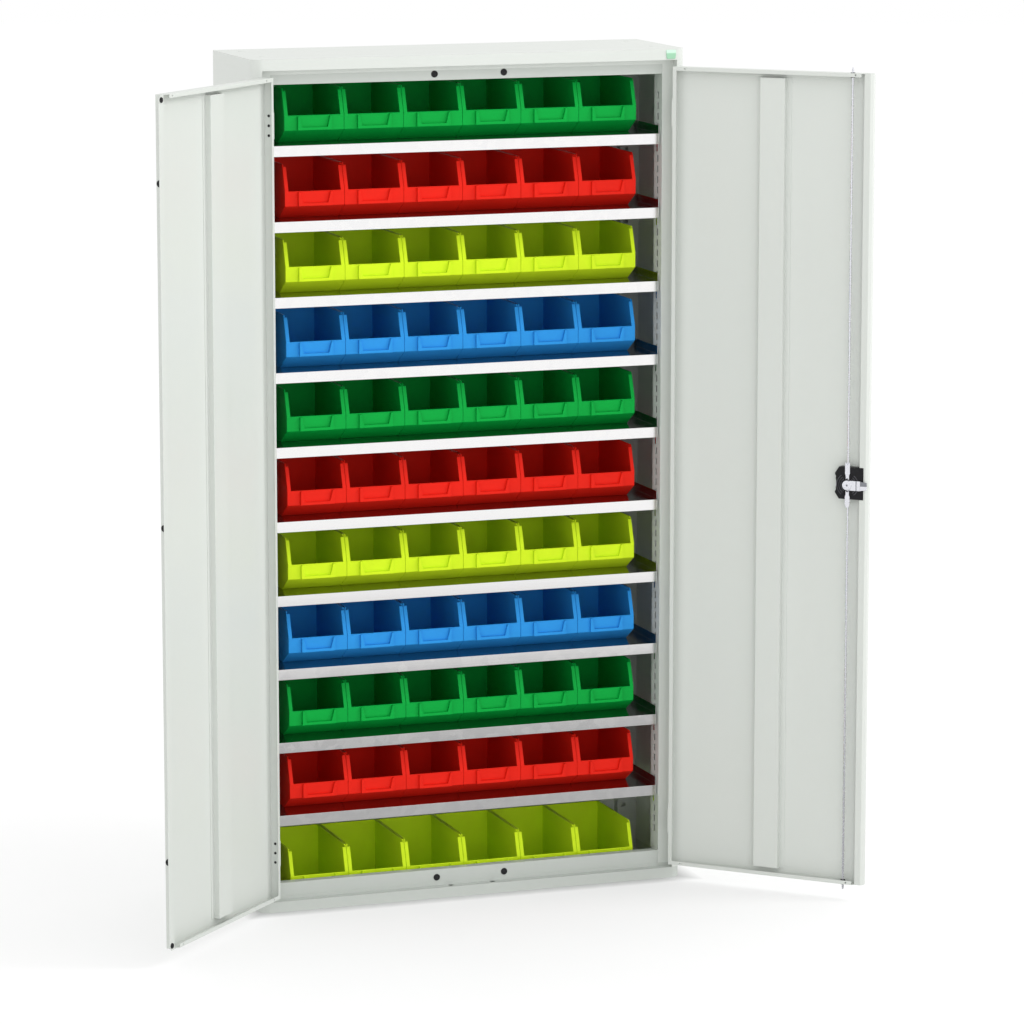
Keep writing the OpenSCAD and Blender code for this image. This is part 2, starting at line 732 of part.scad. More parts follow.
// Tongue that reaches behind the other door's strip, stepped towards it
module latch_tongue() color(zinc) at_lock() {
    bend = -22;
    tip_half = tongue_hub_r - 3;
    along_y(tongue_d, tongue_d + tongue_t) {
        circle(tongue_hub_r);
        translate([bend - 4, -tongue_hub_r]) square([-bend + 4, 2 * tongue_hub_r]);
    }
    along_y(tongue_d - tongue_step, tongue_d - tongue_step + tongue_t) polygon([[bend, -tongue_hub_r],
        [bend, tongue_hub_r], [bend - 8, tongue_hub_r], [-tongue_l, tip_half], [-tongue_l, -tip_half],
        [bend - 8, -tongue_hub_r]]);
    along_y(tongue_d + tongue_t, tongue_d + tongue_t + 0.6) circle(3.4, $fn = 6);
}

// Plate under the handle on the door's front
module handle_plate() color(black) right_open() along_y(front - plate_t, front)
    translate([lock_x, lock_z]) difference() {
        union() {
            square([plate_w, plate_h - plate_w], center = true);
            for (side = [-1, 1]) translate([0, side * (plate_h - plate_w) / 2]) circle(plate_w / 2);
        }
        circle(spindle_r + run_fit);
        for (side = [-1, 1]) translate([0, side * plate_screw_z]) circle(screw_r + screw_play);
    }

module handle_plate_screws() color(zinc) right_open() for (side = [-1, 1])
    translate([lock_x, front - plate_t, lock_z + side * plate_screw_z]) rotate([-90, 0, 0]) {
        cylinder(plate_t - 0.2, r = screw_r);
        translate([0, 0, -2]) difference() {
            cylinder(2, r = 4);
            translate([0, 0, -cut]) cylinder(cut + 1.2, r = 1.6, $fn = 6);
        }
    }

// Lever handle with a hub, a tapered grip and the seat of the key barrel
module door_handle() color(black) at_lock() difference() {
    union() {
        along_y(handle_front, -plate_t) circle(hub_r);
        along_y(handle_front, handle_front + 11) {
            polygon([[-10, 0], [10, 0], [8, -grip_l + 8], [-8, -grip_l + 8]]);
            translate([0, -grip_l + 8]) circle(8);
        }
    }
    along_y(handle_front - cut, handle_front + barrel_l) circle(barrel_r + run_fit);
    along_y(spindle_front - run_fit, -plate_t + cut) circle(spindle_r + run_fit);
}

module key_barrel() color(zinc) at_lock() along_y(handle_front - 1, handle_front + barrel_l - 0.1)
    difference() {
        circle(barrel_r);
        square([1.6, 8], center = true);
    }

// ---------------------------------------------------------------- bins

// Open-front bin, drawn with its front wall at Y = 0 and its foot at Z = 0
module bin() {
    half = bin_w / 2;
    w = bin_wall;
    rim_r = 2;
    difference() {
        along_x(-half, half) polygon([[0, bin_chin_z], [bin_foot_y, 0], [bin_l, 0], [bin_l, bin_h],
            [bin_lean + 5, bin_h], [bin_lean + 1, bin_h - 1.5], [bin_lean - 1.6, bin_h - 5.5],
            [0, bin_rim_z]]);
        along_x(-half + w, half - w) polygon([[w, bin_chin_z + 1], [bin_foot_y + 1, w],
            [bin_l - w, w], [bin_l - w, bin_h + cut], [-cut, bin_h + cut], [-cut, bin_rim_z],
            [w, bin_rim_z]]);
    }
    // Flanges down the front edges of the side walls, and their thick top edges
    for (side = [0, 1]) mirror([side, 0, 0]) {
        along_x(half - bin_flange_w, half) polygon([[0, bin_rim_z - 8], [w + 0.6, bin_rim_z - 8],
            [w + 0.6, bin_rim_z], [bin_lean + 1.5, bin_h - 5.5], [bin_lean - 1.6, bin_h - 5.5],
            [0, bin_rim_z]]);
        along_x(half - w - 2, half) polygon([[bin_lean + 3, bin_h], [bin_l, bin_h],
            [bin_l, bin_h - 4], [bin_lean + 1, bin_h - 4]]);
    }
    // Rolled rim and the label holder on the front wall
    along_x(-half + bin_flange_w, half - bin_flange_w)
        translate([w / 2 + 0.4, bin_rim_z - rim_r]) circle(rim_r, $fn = 24);
    along_y(-1.8, 0.2) difference() {
        translate([-label_w / 2, bin_chin_z + 2]) square([label_w, bin_rim_z - bin_chin_z - 4]);
        polygon([[-label_w / 2 + 5, bin_rim_z], [label_w / 2 - 5, bin_rim_z],
            [label_w / 2 - 12, bin_chin_z + 8], [-label_w / 2 + 12, bin_chin_z + 8]]);
    }
}

function row_z(k) = k < shelf_count ? shelf_z(k) : sheet;

module bins_row(k) color(row_colours[k % 4]) for (i = [0:bins_per_row - 1])
    translate([bin_shift + (i - (bins_per_row - 1) / 2) * bin_pitch, front + bin_setback, row_z(k)]) bin();

module bins_row_01() bins_row(0);

module bins_row_02() bins_row(1);

module bins_row_03() bins_row(2);

module bins_row_04() bins_row(3);

module bins_row_05() bins_row(4);

module bins_row_06() bins_row(5);

module bins_row_07() bins_row(6);

module bins_row_08() bins_row(7);

module bins_row_09() bins_row(8);

module bins_row_10() bins_row(9);

module bins_row_11() bins_row(10);

// ---------------------------------------------------------------- nodes

lid();
corner_cap();
lid_plugs();
back_panel();
left_side_panel();
right_side_panel();
base_plinth();
top_rail();
bottom_rail();
front_left_upright();
front_right_upright();
rear_left_upright();
rear_right_upright();
shelf_01();
shelf_02();
shelf_03();
shelf_04();
shelf_05();
shelf_06();
shelf_07();
shelf_08();
shelf_09();
shelf_10();
shelf_clips();
rail_buffers();
hinge_frame_leaves();
hinge_pins();
left_door();
left_door_stiffener();
left_hinge_leaves();
left_hinge_screws();
left_door_buffers();
right_door();
right_door_stiffener();
right_hinge_leaves();
right_hinge_screws();
lock_cover();
rod_guides();
handle_plate();
handle_plate_screws();
lock_cam();
latch_tongue();
door_handle();
key_barrel();
upper_rod();
lower_rod();
bins_row_01();
bins_row_02();
bins_row_03();
bins_row_04();
bins_row_05();
bins_row_06();
bins_row_07();
bins_row_08();
bins_row_09();
bins_row_10();
bins_row_11();
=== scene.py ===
# %% [markdown]
# # A parts bin cupboard, dressed for its picture
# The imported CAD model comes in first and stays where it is. Everything below either gives one of its
# nodes a finish, or makes a finer piece that stands for a node and moves with the same body.
# All lengths are in metres, +Z is up, and the cupboard's doors face -Y.

import json
import math
from types import SimpleNamespace

import bmesh
import bpy
from mathutils import Matrix, Vector

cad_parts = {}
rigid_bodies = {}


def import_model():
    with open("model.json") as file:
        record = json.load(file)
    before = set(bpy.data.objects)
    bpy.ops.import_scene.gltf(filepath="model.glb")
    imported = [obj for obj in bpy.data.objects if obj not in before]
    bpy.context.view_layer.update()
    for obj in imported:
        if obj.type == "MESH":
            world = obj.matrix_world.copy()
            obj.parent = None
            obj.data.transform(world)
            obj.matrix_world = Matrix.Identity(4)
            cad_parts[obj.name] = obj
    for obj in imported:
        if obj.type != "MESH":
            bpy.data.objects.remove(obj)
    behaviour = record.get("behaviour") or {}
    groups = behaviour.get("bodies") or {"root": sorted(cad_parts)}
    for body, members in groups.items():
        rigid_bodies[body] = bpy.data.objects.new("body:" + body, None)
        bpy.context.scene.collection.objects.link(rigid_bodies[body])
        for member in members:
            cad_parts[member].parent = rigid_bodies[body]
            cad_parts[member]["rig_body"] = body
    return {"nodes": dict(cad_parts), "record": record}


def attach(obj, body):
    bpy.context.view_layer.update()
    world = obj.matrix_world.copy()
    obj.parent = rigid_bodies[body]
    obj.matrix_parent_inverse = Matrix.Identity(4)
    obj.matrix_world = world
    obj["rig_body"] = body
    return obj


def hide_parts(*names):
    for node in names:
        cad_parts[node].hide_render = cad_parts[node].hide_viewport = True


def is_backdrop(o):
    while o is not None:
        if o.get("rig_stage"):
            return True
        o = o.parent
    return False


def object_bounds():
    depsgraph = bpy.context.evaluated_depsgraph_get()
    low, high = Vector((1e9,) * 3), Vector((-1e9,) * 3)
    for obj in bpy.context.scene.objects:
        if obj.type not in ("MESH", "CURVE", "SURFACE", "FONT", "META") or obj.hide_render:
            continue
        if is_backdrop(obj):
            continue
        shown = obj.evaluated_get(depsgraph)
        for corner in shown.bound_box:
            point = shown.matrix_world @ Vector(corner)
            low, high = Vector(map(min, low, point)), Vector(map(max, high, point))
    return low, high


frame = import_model()
cad_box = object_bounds()
nodes = frame["nodes"]
slot_of = {p["node"]: p["material_slot"] for p in frame["record"]["subparts"]}

# %% [markdown]
# ## The camera
# The picture was taken from the left of the cupboard and above its middle, with a long lens from about
# eleven metres away, so its lines run together only a little. The camera looks down by ten degrees. The
# lens has no shift, because a shift would push the cupboard out of every other view.

# %% Camera
LENS, CAMERA_PLACE, CAMERA_TURN = 163.66, (-3.5359, -10.3375, 2.8169), (80.046, 0, -19.644)
MIDDLE = Vector((0, 0, 1))                  # half way up the cupboard


def in_scene(name, data):
    """A new object in the scene."""
    obj = bpy.data.objects.new(name, data)
    bpy.context.scene.collection.objects.link(obj)
    return obj


camera_data = bpy.data.cameras.new("picture_camera")
camera_data.lens = LENS
camera_data.clip_end = 200
camera = in_scene("picture_camera", camera_data)
camera.location = CAMERA_PLACE
camera.rotation_euler = [math.radians(a) for a in CAMERA_TURN]
bpy.context.scene.camera = camera
bpy.context.scene.view_settings.view_transform = "Standard"
print("camera", round((camera.location - MIDDLE).length, 2), "m from the cupboard's middle")

# %% [markdown]
# ## Writing node trees as expressions
# A material or a Geometry Nodes tree is a sum of small operations. `Value` wraps the output of a node, so
# that `0.4 + 0.1 * grain` adds the two Math nodes by itself. `Maker.node` makes any other node: first its
# settings, then the numbers and links of its sockets.

# %% Values and trees
class Value:
    """A node's output that takes part in Python expressions."""

    def __init__(self, maker, socket):
        self.maker, self.socket = maker, socket

    def math(self, operation, first, second):
        return self.maker.node("ShaderNodeMath", {"operation": operation}, {0: first, 1: second})

    def __add__(self, other):
        return self.math("ADD", self, other)

    def __radd__(self, other):
        return self.math("ADD", other, self)

    def __sub__(self, other):
        return self.math("SUBTRACT", self, other)

    def __rsub__(self, other):
        return self.math("SUBTRACT", other, self)

    def __mul__(self, other):
        return self.math("MULTIPLY", self, other)

    def __rmul__(self, other):
        return self.math("MULTIPLY", other, self)

    def __abs__(self):
        return self.maker.node("ShaderNodeMath", {"operation": "ABSOLUTE"}, {0: self})


class Maker:
    """Adds nodes to one tree."""

    def __init__(self, tree):
        self.tree = tree

    def node(self, kind, settings=None, inputs=None, out=0):
        made = self.tree.nodes.new(kind)
        for key, value in (settings or {}).items():
            setattr(made, key, value)
        for key, value in (inputs or {}).items():
            if isinstance(value, (Value, list)):
                for link in value if isinstance(value, list) else [value]:
                    self.tree.links.new(link.socket, made.inputs[key])
            else:
                made.inputs[key].default_value = value
        return Value(self, made.outputs[out]) if made.outputs else None


print("values and trees can be written as sums")

# %% [markdown]
# ## Nodes that every finish uses
# A finish is a pattern in the surface's own coordinates that moves the colour and the gloss a little and
# lifts the skin. The few nodes for this come back in every material, so each has a short function here.

# %% Finish helpers
def material(name, build):
    """A material whose Principled shader takes what build(maker) returns for its sockets."""
    made = bpy.data.materials.new(name)
    made.use_nodes = True
    made.node_tree.nodes.clear()
    maker = Maker(made.node_tree)
    shader = maker.node("ShaderNodeBsdfPrincipled", {}, build(maker))
    maker.node("ShaderNodeOutputMaterial", {}, {"Surface": shader})
    return made


def place(maker, stretch=(1, 1, 1)):
    """The surface's own coordinates in metres, stretched if wanted."""
    own = maker.node("ShaderNodeTexCoord", out="Object")
    return maker.node("ShaderNodeMapping", {}, {"Vector": own, "Scale": stretch})


def part_of(maker, vector, axis):
    """One of a vector's three numbers."""
    return maker.node("ShaderNodeSeparateXYZ", {}, {0: vector}, out=axis)


def larger(first, second):
    return first.math("MAXIMUM", first, second)


def rise(maker, value, start, end, low=0.0, high=1.0, kind="SMOOTHSTEP"):
    """Goes from low to high as value goes from start to end, and is level outside them."""
    return maker.node("ShaderNodeMapRange", {"interpolation_type": kind},
                      {"Value": value, "From Min": start, "From Max": end, "To Min": low, "To Max": high})


def noise(maker, where, scale, detail=2.0, rough=0.5):
    return maker.node("ShaderNodeTexNoise", {},
                      {"Vector": where, "Scale": scale, "Detail": detail, "Roughness": rough})


def between(maker, amount, low, high):
    """A colour that runs from low to high as amount goes from 0 to 1. Either may be an output."""
    low, high = [c if isinstance(c, Value) else (*c, 1) for c in (low, high)]
    return maker.node("ShaderNodeMix", {"data_type": "RGBA", "clamp_factor": True},
                      {0: amount, 6: low, 7: high}, out=2)


def relief(maker, height, strength, depth):
    return maker.node("ShaderNodeBump", {}, {"Height": height, "Strength": strength, "Distance": depth})


print("finish helpers ready")

# %% [markdown]
# ## Painted steel
# The case and the doors are powder coated in a very pale greenish grey. The frame behind the doors and
# the plinth below them get a darker tone of the same paint, which is painted shade for these parts that
# get less light. Powder melts into a skin with a fine waviness, like the peel of an orange, and it is never
# quite even in tone. One flat colour would look like plastic, so two noises do the rest: a broad one moves
# the tone and the gloss a little, and a fine one makes the skin's relief.

# %% Paint
def paint_look(low, high):
    def look(m):
        where = place(m)
        broad = noise(m, where, 2.6, 3)
        return {
            "Base Color": between(m, 0.35 * noise(m, where, 60, 3) + 0.65 * broad, low, high),
            "Roughness": 0.34 + 0.12 * broad,
            "Normal": relief(m, noise(m, where, 420, 2), 0.12, 0.0003),
        }
    return look


paint = material("powder_coat", paint_look((0.620, 0.647, 0.612), (0.650, 0.677, 0.642)))
# The darker tone is painted shade for the frame and the plinth.
shaded_frame_paint = material("frame_coat_painted_shade", paint_look((0.500, 0.530, 0.497), (0.530, 0.560, 0.527)))
print("two tones of paint")

# %% [markdown]
# ## Galvanised shelves
# The shelves are bright galvanised sheet. Its zinc freezes in flat crystals, so neighbouring patches have
# a slightly different tone and gloss, and the sheet keeps faint lines from the mill along its length. A
# Voronoi texture gives each crystal its own number. The upright edges are bright, while the flat top and
# the underside get a darker tone that is painted shade, so the direction that a face looks in chooses
# between two tones.

# %% Galvanised steel
def galvanised_look(m):
    where = place(m)
    crystal = m.node("ShaderNodeTexVoronoi", {},
                     {"Vector": place(m, (1, 1.3, 1)), "Scale": 55, "Randomness": 1.0}, out="Color")
    patch = m.node("ShaderNodeSeparateColor", {}, {0: crystal})
    lines = noise(m, place(m, (2, 160, 160)), 3, 3)
    # Faces that look up or down get the darker tone, as painted shade.
    upright = part_of(m, m.node("ShaderNodeNewGeometry", out="Normal"), "Z")
    flat = rise(m, abs(upright), 0.6, 0.95)
    bright = between(m, 0.6 * patch + 0.4 * lines, (0.915, 0.910, 0.912), (0.975, 0.968, 0.960))
    painted_shade = between(m, 0.5 * patch + 0.5 * lines, (0.36, 0.37, 0.38), (0.50, 0.51, 0.52))
    return {
        "Base Color": between(m, flat, bright, painted_shade),
        "Metallic": 1.0,
        "Roughness": 0.12 + 0.06 * patch + 0.05 * lines,
        "Normal": relief(m, lines + 0.5 * noise(m, where, 14, 2), 0.05, 0.0004),
    }


galvanised = material("galvanised_sheet", galvanised_look)
print("galvanised sheet with", len(galvanised.node_tree.nodes), "nodes")

# %% [markdown]
# ## Small metal parts
# The lock's bars, rods and tongue are zinc plated: pale, bright and a little cloudy. Where the tongue's
# face leans away, along its fold and in its hub's hole, a dark copy of the zinc is painted shade. The key
# barrel is nickel, warmer and smoother. All three come from one recipe with other numbers.

# %% Plated metal
def plated_look(dark, light, gloss):
    def look(m):
        where = place(m)
        cloud = noise(m, where, 90, 4, 0.6)
        return {
            "Base Color": between(m, cloud, dark, light),
            "Metallic": 0.9,
            "Roughness": gloss + 0.14 * cloud,
            "Normal": relief(m, noise(m, where, 1500, 2), 0.06, 0.0001),
        }
    return look


zinc = material("zinc_plate", plated_look((0.72, 0.73, 0.79), (0.90, 0.90, 0.94), 0.20))
# A dark copy of the zinc: painted shade on the tongue.
painted_shade_zinc = material("painted_shade_zinc", plated_look((0.20, 0.21, 0.23), (0.34, 0.35, 0.38), 0.30))
nickel = material("nickel_plate", plated_look((0.60, 0.57, 0.52), (0.78, 0.75, 0.70), 0.14))
print("plated:", zinc.name, painted_shade_zinc.name, nickel.name)

# %% [markdown]
# ## Black parts
# Rubber is matt with a soft bloom, the moulded lock cover has a fine spark-eroded grain, and the steel
# screws and the handle are painted black with a faint gloss. The ribs on the cover are a paler black, a
# painted highlight on their crowns.

# %% Black finishes
def black_look(dark, light, gloss, grain, depth):
    """Greys that run from dark to light, with a grain of so many waves and so deep a relief."""
    def look(m):
        where = place(m)
        bloom = noise(m, where, 130, 4, 0.6)
        return {
            "Base Color": between(m, bloom, dark, light),
            "Roughness": gloss + 0.15 * bloom,
            "Specular IOR Level": 0.2,
            "Normal": relief(m, noise(m, where, grain, 3), 0.3, depth),
        }
    return look


rubber = material("black_rubber",
                  black_look((0.010, 0.010, 0.011), (0.030, 0.030, 0.032), 0.55, 900, 0.0003))
black_plastic = material("moulded_black",
                         black_look((0.006, 0.006, 0.007), (0.016, 0.016, 0.018), 0.30, 1700, 0.0002))
# A paler black for the ribs, as a painted highlight on their crowns.
rib_highlight_black = material("rib_highlight_black",
                      black_look((0.055, 0.055, 0.062), (0.085, 0.085, 0.095), 0.30, 1700, 0.0002))
black_steel = material("black_steel",
                       black_look((0.014, 0.014, 0.015), (0.024, 0.024, 0.026), 0.26, 700, 0.0001))
print("black:", rubber.name, black_plastic.name, rib_highlight_black.name, black_steel.name)

# %% [markdown]
# ## Coloured plastic
# The bins are polypropylene, moulded in one piece. The colour goes right through it, with faint flow
# lines, and its satin skin catches a soft highlight. The corner cap is the same kind of plastic.

# %% Bin plastics
# Heights over which the cap turns paler towards its upper edge, as a painted highlight.
CAP_HIGHLIGHT_FROM, CAP_HIGHLIGHT_FULL = 1.9880, 1.9925     # heights


def plastic_look(colour):
    def look(m):
        where = place(m)
        flow = noise(m, place(m, (1, 0.35, 1)), 16, 4, 0.55)
        shaded, lit = [c * 0.90 for c in colour], [min(c * 1.06, 1) for c in colour]
        return {
            "Base Color": between(m, flow, shaded, lit),
            "Roughness": 0.36 + 0.12 * flow,
            "Specular IOR Level": 0.10,
            "Normal": relief(m, noise(m, where, 1300, 2), 0.12, 0.0002),
        }
    return look


def mint_look(m):
    """The corner cap's plastic: it is paler along its upper edge, as a painted highlight."""
    painted_highlight = rise(m, part_of(m, place(m), "Z"), CAP_HIGHLIGHT_FROM, CAP_HIGHLIGHT_FULL)
    highlight_and_speckle = 0.85 * painted_highlight + 0.15 * noise(m, place(m), 60, 3)
    return {
        "Base Color": between(m, highlight_and_speckle, (0.300, 0.560, 0.375), (0.62, 0.86, 0.70)),
        "Roughness": 0.3 + 0.1 * highlight_and_speckle,
        "Specular IOR Level": 0.12,
    }


plastics = {
    "bin_green": material("green_plastic", plastic_look((0.0020, 0.385, 0.052))),
    "bin_red": material("red_plastic", plastic_look((0.80, 0.018, 0.008))),
    "bin_lime": material("lime_plastic", plastic_look((0.64, 0.86, 0.018))),
    "bin_blue": material("blue_plastic", plastic_look((0.028, 0.295, 0.74))),
    "mint_plastic": material("mint_plastic", mint_look),
}
print("plastics:", *plastics)

# %% [markdown]
# ## A finish for every node
# The record names a material slot for each CAD node. Each slot gets its finish here, so a node that stays
# in view is already dressed, and the pieces below only take over where they add something.

# %% Dress the nodes
finishes = {"paint": paint, "galvanised": galvanised, "zinc": zinc, "nickel": nickel, "rubber": rubber,
            "black_plastic": black_plastic, "black_steel": black_steel, **plastics}
# These nodes take the darker paint, which is painted shade.
painted_shade_nodes = {"rear_left_upright", "rear_right_upright", "top_rail", "bottom_rail", "base_plinth"}
for name, node in nodes.items():
    node.data.materials.clear()
    node.data.materials.append(shaded_frame_paint if name in painted_shade_nodes else finishes[slot_of[name]])
print({slot: sum(s == slot for s in slot_of.values()) for slot in finishes})

# %% [markdown]
# ## Eased edges
# A folded or moulded part has no knife edges: a thin line of light runs along each corner. The CAD nodes
# have sharp ones, so a copy of each is merged, cleared of the extra edges in its flat faces and bevelled.
# The weighted normals keep the big faces flat and bend only the bevel.

# %% Ease the edges of a node
SAME_POINT, FLAT_ANGLE, SHARP_ANGLE = 2e-6, math.radians(0.4), math.radians(35)


def plain(obj, name):
    """Applies what the object's modifiers do and names the result."""
    graph = bpy.context.evaluated_depsgraph_get()
    mesh = bpy.data.meshes.new_from_object(obj.evaluated_get(graph))
    bpy.data.objects.remove(obj)
    return in_scene(name, mesh)


def body_of(node):
    return nodes[node]["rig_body"]


def stand_for(piece, *names):
    """The piece rides with these nodes' body and shows in their place."""
    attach(piece, body_of(names[0]))
    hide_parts(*names)


def bevelled(obj, width, angle):
    bevel = obj.modifiers.new("edges", "BEVEL")
    bevel.width, bevel.segments = width, 2
    bevel.limit_method, bevel.angle_limit = "ANGLE", angle


def smooth_but_flat(obj):
    """Smooth shading that bends at the edges only."""
    obj.modifiers.new("flat_faces", "WEIGHTED_NORMAL").keep_sharp = False
    obj.data.shade_smooth()


def eased(node, width, cutter=None):
    """Puts a copy of the node with eased edges in its place, less what the cutter fills."""
    mesh = nodes[node].data.copy()
    shape = bmesh.new()
    shape.from_mesh(mesh)
    bmesh.ops.remove_doubles(shape, verts=shape.verts, dist=SAME_POINT)
    bmesh.ops.dissolve_limit(shape, angle_limit=FLAT_ANGLE, verts=shape.verts, edges=shape.edges)
    shape.to_mesh(mesh)
    shape.free()
    if "custom_normal" in mesh.attributes:
        mesh.attributes.remove(mesh.attributes["custom_normal"])
    obj = in_scene(node, mesh)
    if cutter:
        cut = obj.modifiers.new("cut", "BOOLEAN")
        cut.operation, cut.object = "DIFFERENCE", cutter
    bevelled(obj, width, SHARP_ANGLE)
    smooth_but_flat(obj)
    made = plain(obj, node + "_eased")
    stand_for(made, node)
    return made


print("edges can be eased")

# %% [markdown]
# ## Folded sheet and the handle
# The case, the doors and the shelves are folded from thin sheet, so their edges get half a millimetre. The
# handle and its plate are thick parts with softer corners, so their bevel is wider.

# %% Ease the folded parts and the handle
SHEET_EDGE, HANDLE_EDGE, PLATE_EDGE = 0.0005, 0.0015, 0.0012
folded = ["lid", "base_plinth", "left_side_panel", "right_side_panel", "top_rail", "bottom_rail",
          "left_door", "right_door", "left_door_stiffener", "right_door_stiffener"]
widths = dict.fromkeys(folded, SHEET_EDGE)
widths.update(door_handle=HANDLE_EDGE, handle_plate=PLATE_EDGE)
widths.update(dict.fromkeys([f"shelf_{k:02d}" for k in range(1, 11)], SHEET_EDGE))
faces = {name: len(eased(name, width).data.polygons) for name, width in widths.items()}
print("eased", len(faces), "nodes, the largest with", max(faces.values()), "faces")

# %% [markdown]
# ## Building blocks
# Most small parts here are prisms: an outline that is pushed straight through. Blender could cut them from
# blocks with booleans, but an outline of a few points is easier to read and gives cleaner faces.

# %% Prisms
def mesh_object(name, shape, faces_turned=False):
    """Makes an object of a mesh that is being built, with its faces turned outwards."""
    mesh = bpy.data.meshes.new(name)
    if not faces_turned:
        bmesh.ops.recalc_face_normals(shape, faces=shape.faces)
    shape.to_mesh(mesh)
    shape.free()
    return in_scene(name, mesh)


def add(shape, part):
    """Puts one mesh that is being built into another."""
    mesh = bpy.data.meshes.new("part")
    part.to_mesh(mesh)
    part.free()
    shape.from_mesh(mesh)
    bpy.data.meshes.remove(mesh)


def prism(shape, outline, low, high, ease, along="x"):
    """A closed prism on an outline of pairs, pushed from low to high, with its edges eased."""
    turn = (lambda p, t: (t, p[0], p[1])) if along == "x" else (lambda p, t: (p[0], t, p[1]))
    part = bmesh.new()
    first = [part.verts.new(turn(p, low)) for p in outline]
    last = [part.verts.new(turn(p, high)) for p in outline]
    part.faces.new(first)
    part.faces.new(last[::-1])
    for i in range(len(outline)):
        j = (i + 1) % len(outline)
        part.faces.new((first[i], last[i], last[j], first[j]))
    bmesh.ops.recalc_face_normals(part, faces=part.faces)
    if ease:
        bmesh.ops.bevel(part, geom=part.edges[:], offset=ease, segments=2, profile=0.5,
                        affect="EDGES", clamp_overlap=True)
    add(shape, part)


print("prisms ready")

# %% [markdown]
# ## One bin
# A bin is a thin moulded box with a low front, whose side walls lean back above it. Hollowing out a block
# would leave an uneven wall, so the skin is drawn once as six faces and given its wall by Solidify, which
# keeps the wall even in the corners.

# %% A bin's shell
BIN = SimpleNamespace(half=0.072, length=0.237, height=0.127, rim=0.066, chin=0.031, foot=0.050,
                      lean=0.021, flange=0.009, wall=0.0024, roll=0.002)
TOP_CORNER = [(0.0050, 0), (0.0010, -0.0015), (-0.0016, -0.0055)]     # counted from (lean, height)
SHELL_EDGE, SHELL_ANGLE = 0.0011, math.radians(20)


def bin_shell():
    b = BIN
    corner = [(b.lean + y, b.height + z) for y, z in TOP_CORNER]
    side = [(0, b.chin), (b.foot, 0), (b.length, 0), (b.length, b.height), *corner, (0, b.rim - b.roll)]
    shape = bmesh.new()
    left = [shape.verts.new((-b.half, y, z)) for y, z in side]
    right = [shape.verts.new((b.half, y, z)) for y, z in side]
    shape.faces.new(left)
    right_wall = shape.faces.new(right[::-1])
    for i, j in ((7, 0), (0, 1), (1, 2), (2, 3)):       # front, slope, floor and back
        shape.faces.new((left[i], right[i], right[j], left[j]))
    bmesh.ops.recalc_face_normals(shape, faces=shape.faces)
    if right_wall.normal.x < 0:
        bmesh.ops.reverse_faces(shape, faces=shape.faces)
    obj = mesh_object("bin_shell", shape, faces_turned=True)
    wall = obj.modifiers.new("wall", "SOLIDIFY")
    wall.thickness, wall.offset, wall.use_even_offset = b.wall, -1, True
    bevelled(obj, SHELL_EDGE, SHELL_ANGLE)
    return plain(obj, "bin_skin")


skin = bin_shell()
print("a bin's shell has", len(skin.data.polygons), "faces")

# %% [markdown]
# ## The bin's flanges, rim and label holder
# The real bin is stiffened where hands and labels go: a flange runs up each front edge, the side walls are
# thicker along their top, the low front ends in a rolled rim, and a frame for a label stands out from it.
# They are prisms that sink a little into the shell, since a boolean would only add thin faces there.

# %% The whole bin
PROUD = 0.0003                              # keeps the prisms' faces off the shell's own
FLANGE_FOOT, EDGE_BAND = 0.006, 0.004       # how far the flange and the top edge reach down
ROLL_Y, ROLL_STEPS, ROLL_OVERLAP = 0.0016, 12, 0.001
HOLDER_OUT, HOLDER_IN = -0.0070, 0.0004
HOLDER_HALF = [(0.041, 0.0314), (0.041, 0.0640), (0.0368, 0.0640), (0.0305, 0.0382)]


def bin_mesh(skin):
    b = BIN
    shape = bmesh.new()
    shape.from_mesh(skin.data)
    bpy.data.objects.remove(skin)
    top_y, top_z = b.lean + TOP_CORNER[-1][0], b.height + TOP_CORNER[-1][1]
    flange = [(-PROUD, b.rim - FLANGE_FOOT), (0.0021, b.rim - FLANGE_FOOT), (0.003, b.rim),
              (top_y + 0.0031, top_z), (top_y - PROUD, top_z), (-PROUD, b.rim)]
    edge = [(b.lean + 0.003, b.height + PROUD), (b.length - PROUD, b.height + PROUD),
            (b.length - PROUD, b.height - EDGE_BAND), (b.lean + 0.001, b.height - EDGE_BAND)]
    for side in (-1, 1):
        outer = side * (b.half - PROUD)
        prism(shape, flange, side * (b.half - b.flange), outer, 0.0005)
        prism(shape, edge, side * (b.half - b.wall - 0.002), outer, 0.0008)
    angles = [2 * math.pi * a / ROLL_STEPS for a in range(ROLL_STEPS)]
    rim = [(ROLL_Y + b.roll * math.cos(a), b.rim - b.roll + b.roll * math.sin(a)) for a in angles]
    reach = b.half - b.flange + ROLL_OVERLAP
    prism(shape, rim, -reach, reach, 0)
    holder = HOLDER_HALF + [(-x, z) for x, z in HOLDER_HALF[::-1]]
    prism(shape, holder, HOLDER_OUT, HOLDER_IN, 0.0008, "y")
    return mesh_object("bin", shape)


bin_piece = bin_mesh(skin)
smooth_but_flat(bin_piece)
bin_piece = plain(bin_piece, "bin_pattern")
print("a bin has", len(bin_piece.data.polygons), "faces")

# %% [markdown]
# ## Geometry Nodes: rows and sets
# What repeats is placed by a Geometry Nodes tree with named inputs. `tree` makes one from a function, and
# `grow` runs it on a small object and keeps the result as a plain mesh, because instances are lost when a
# model is exported. A modifier's input is set by its identifier, before the object is first evaluated.

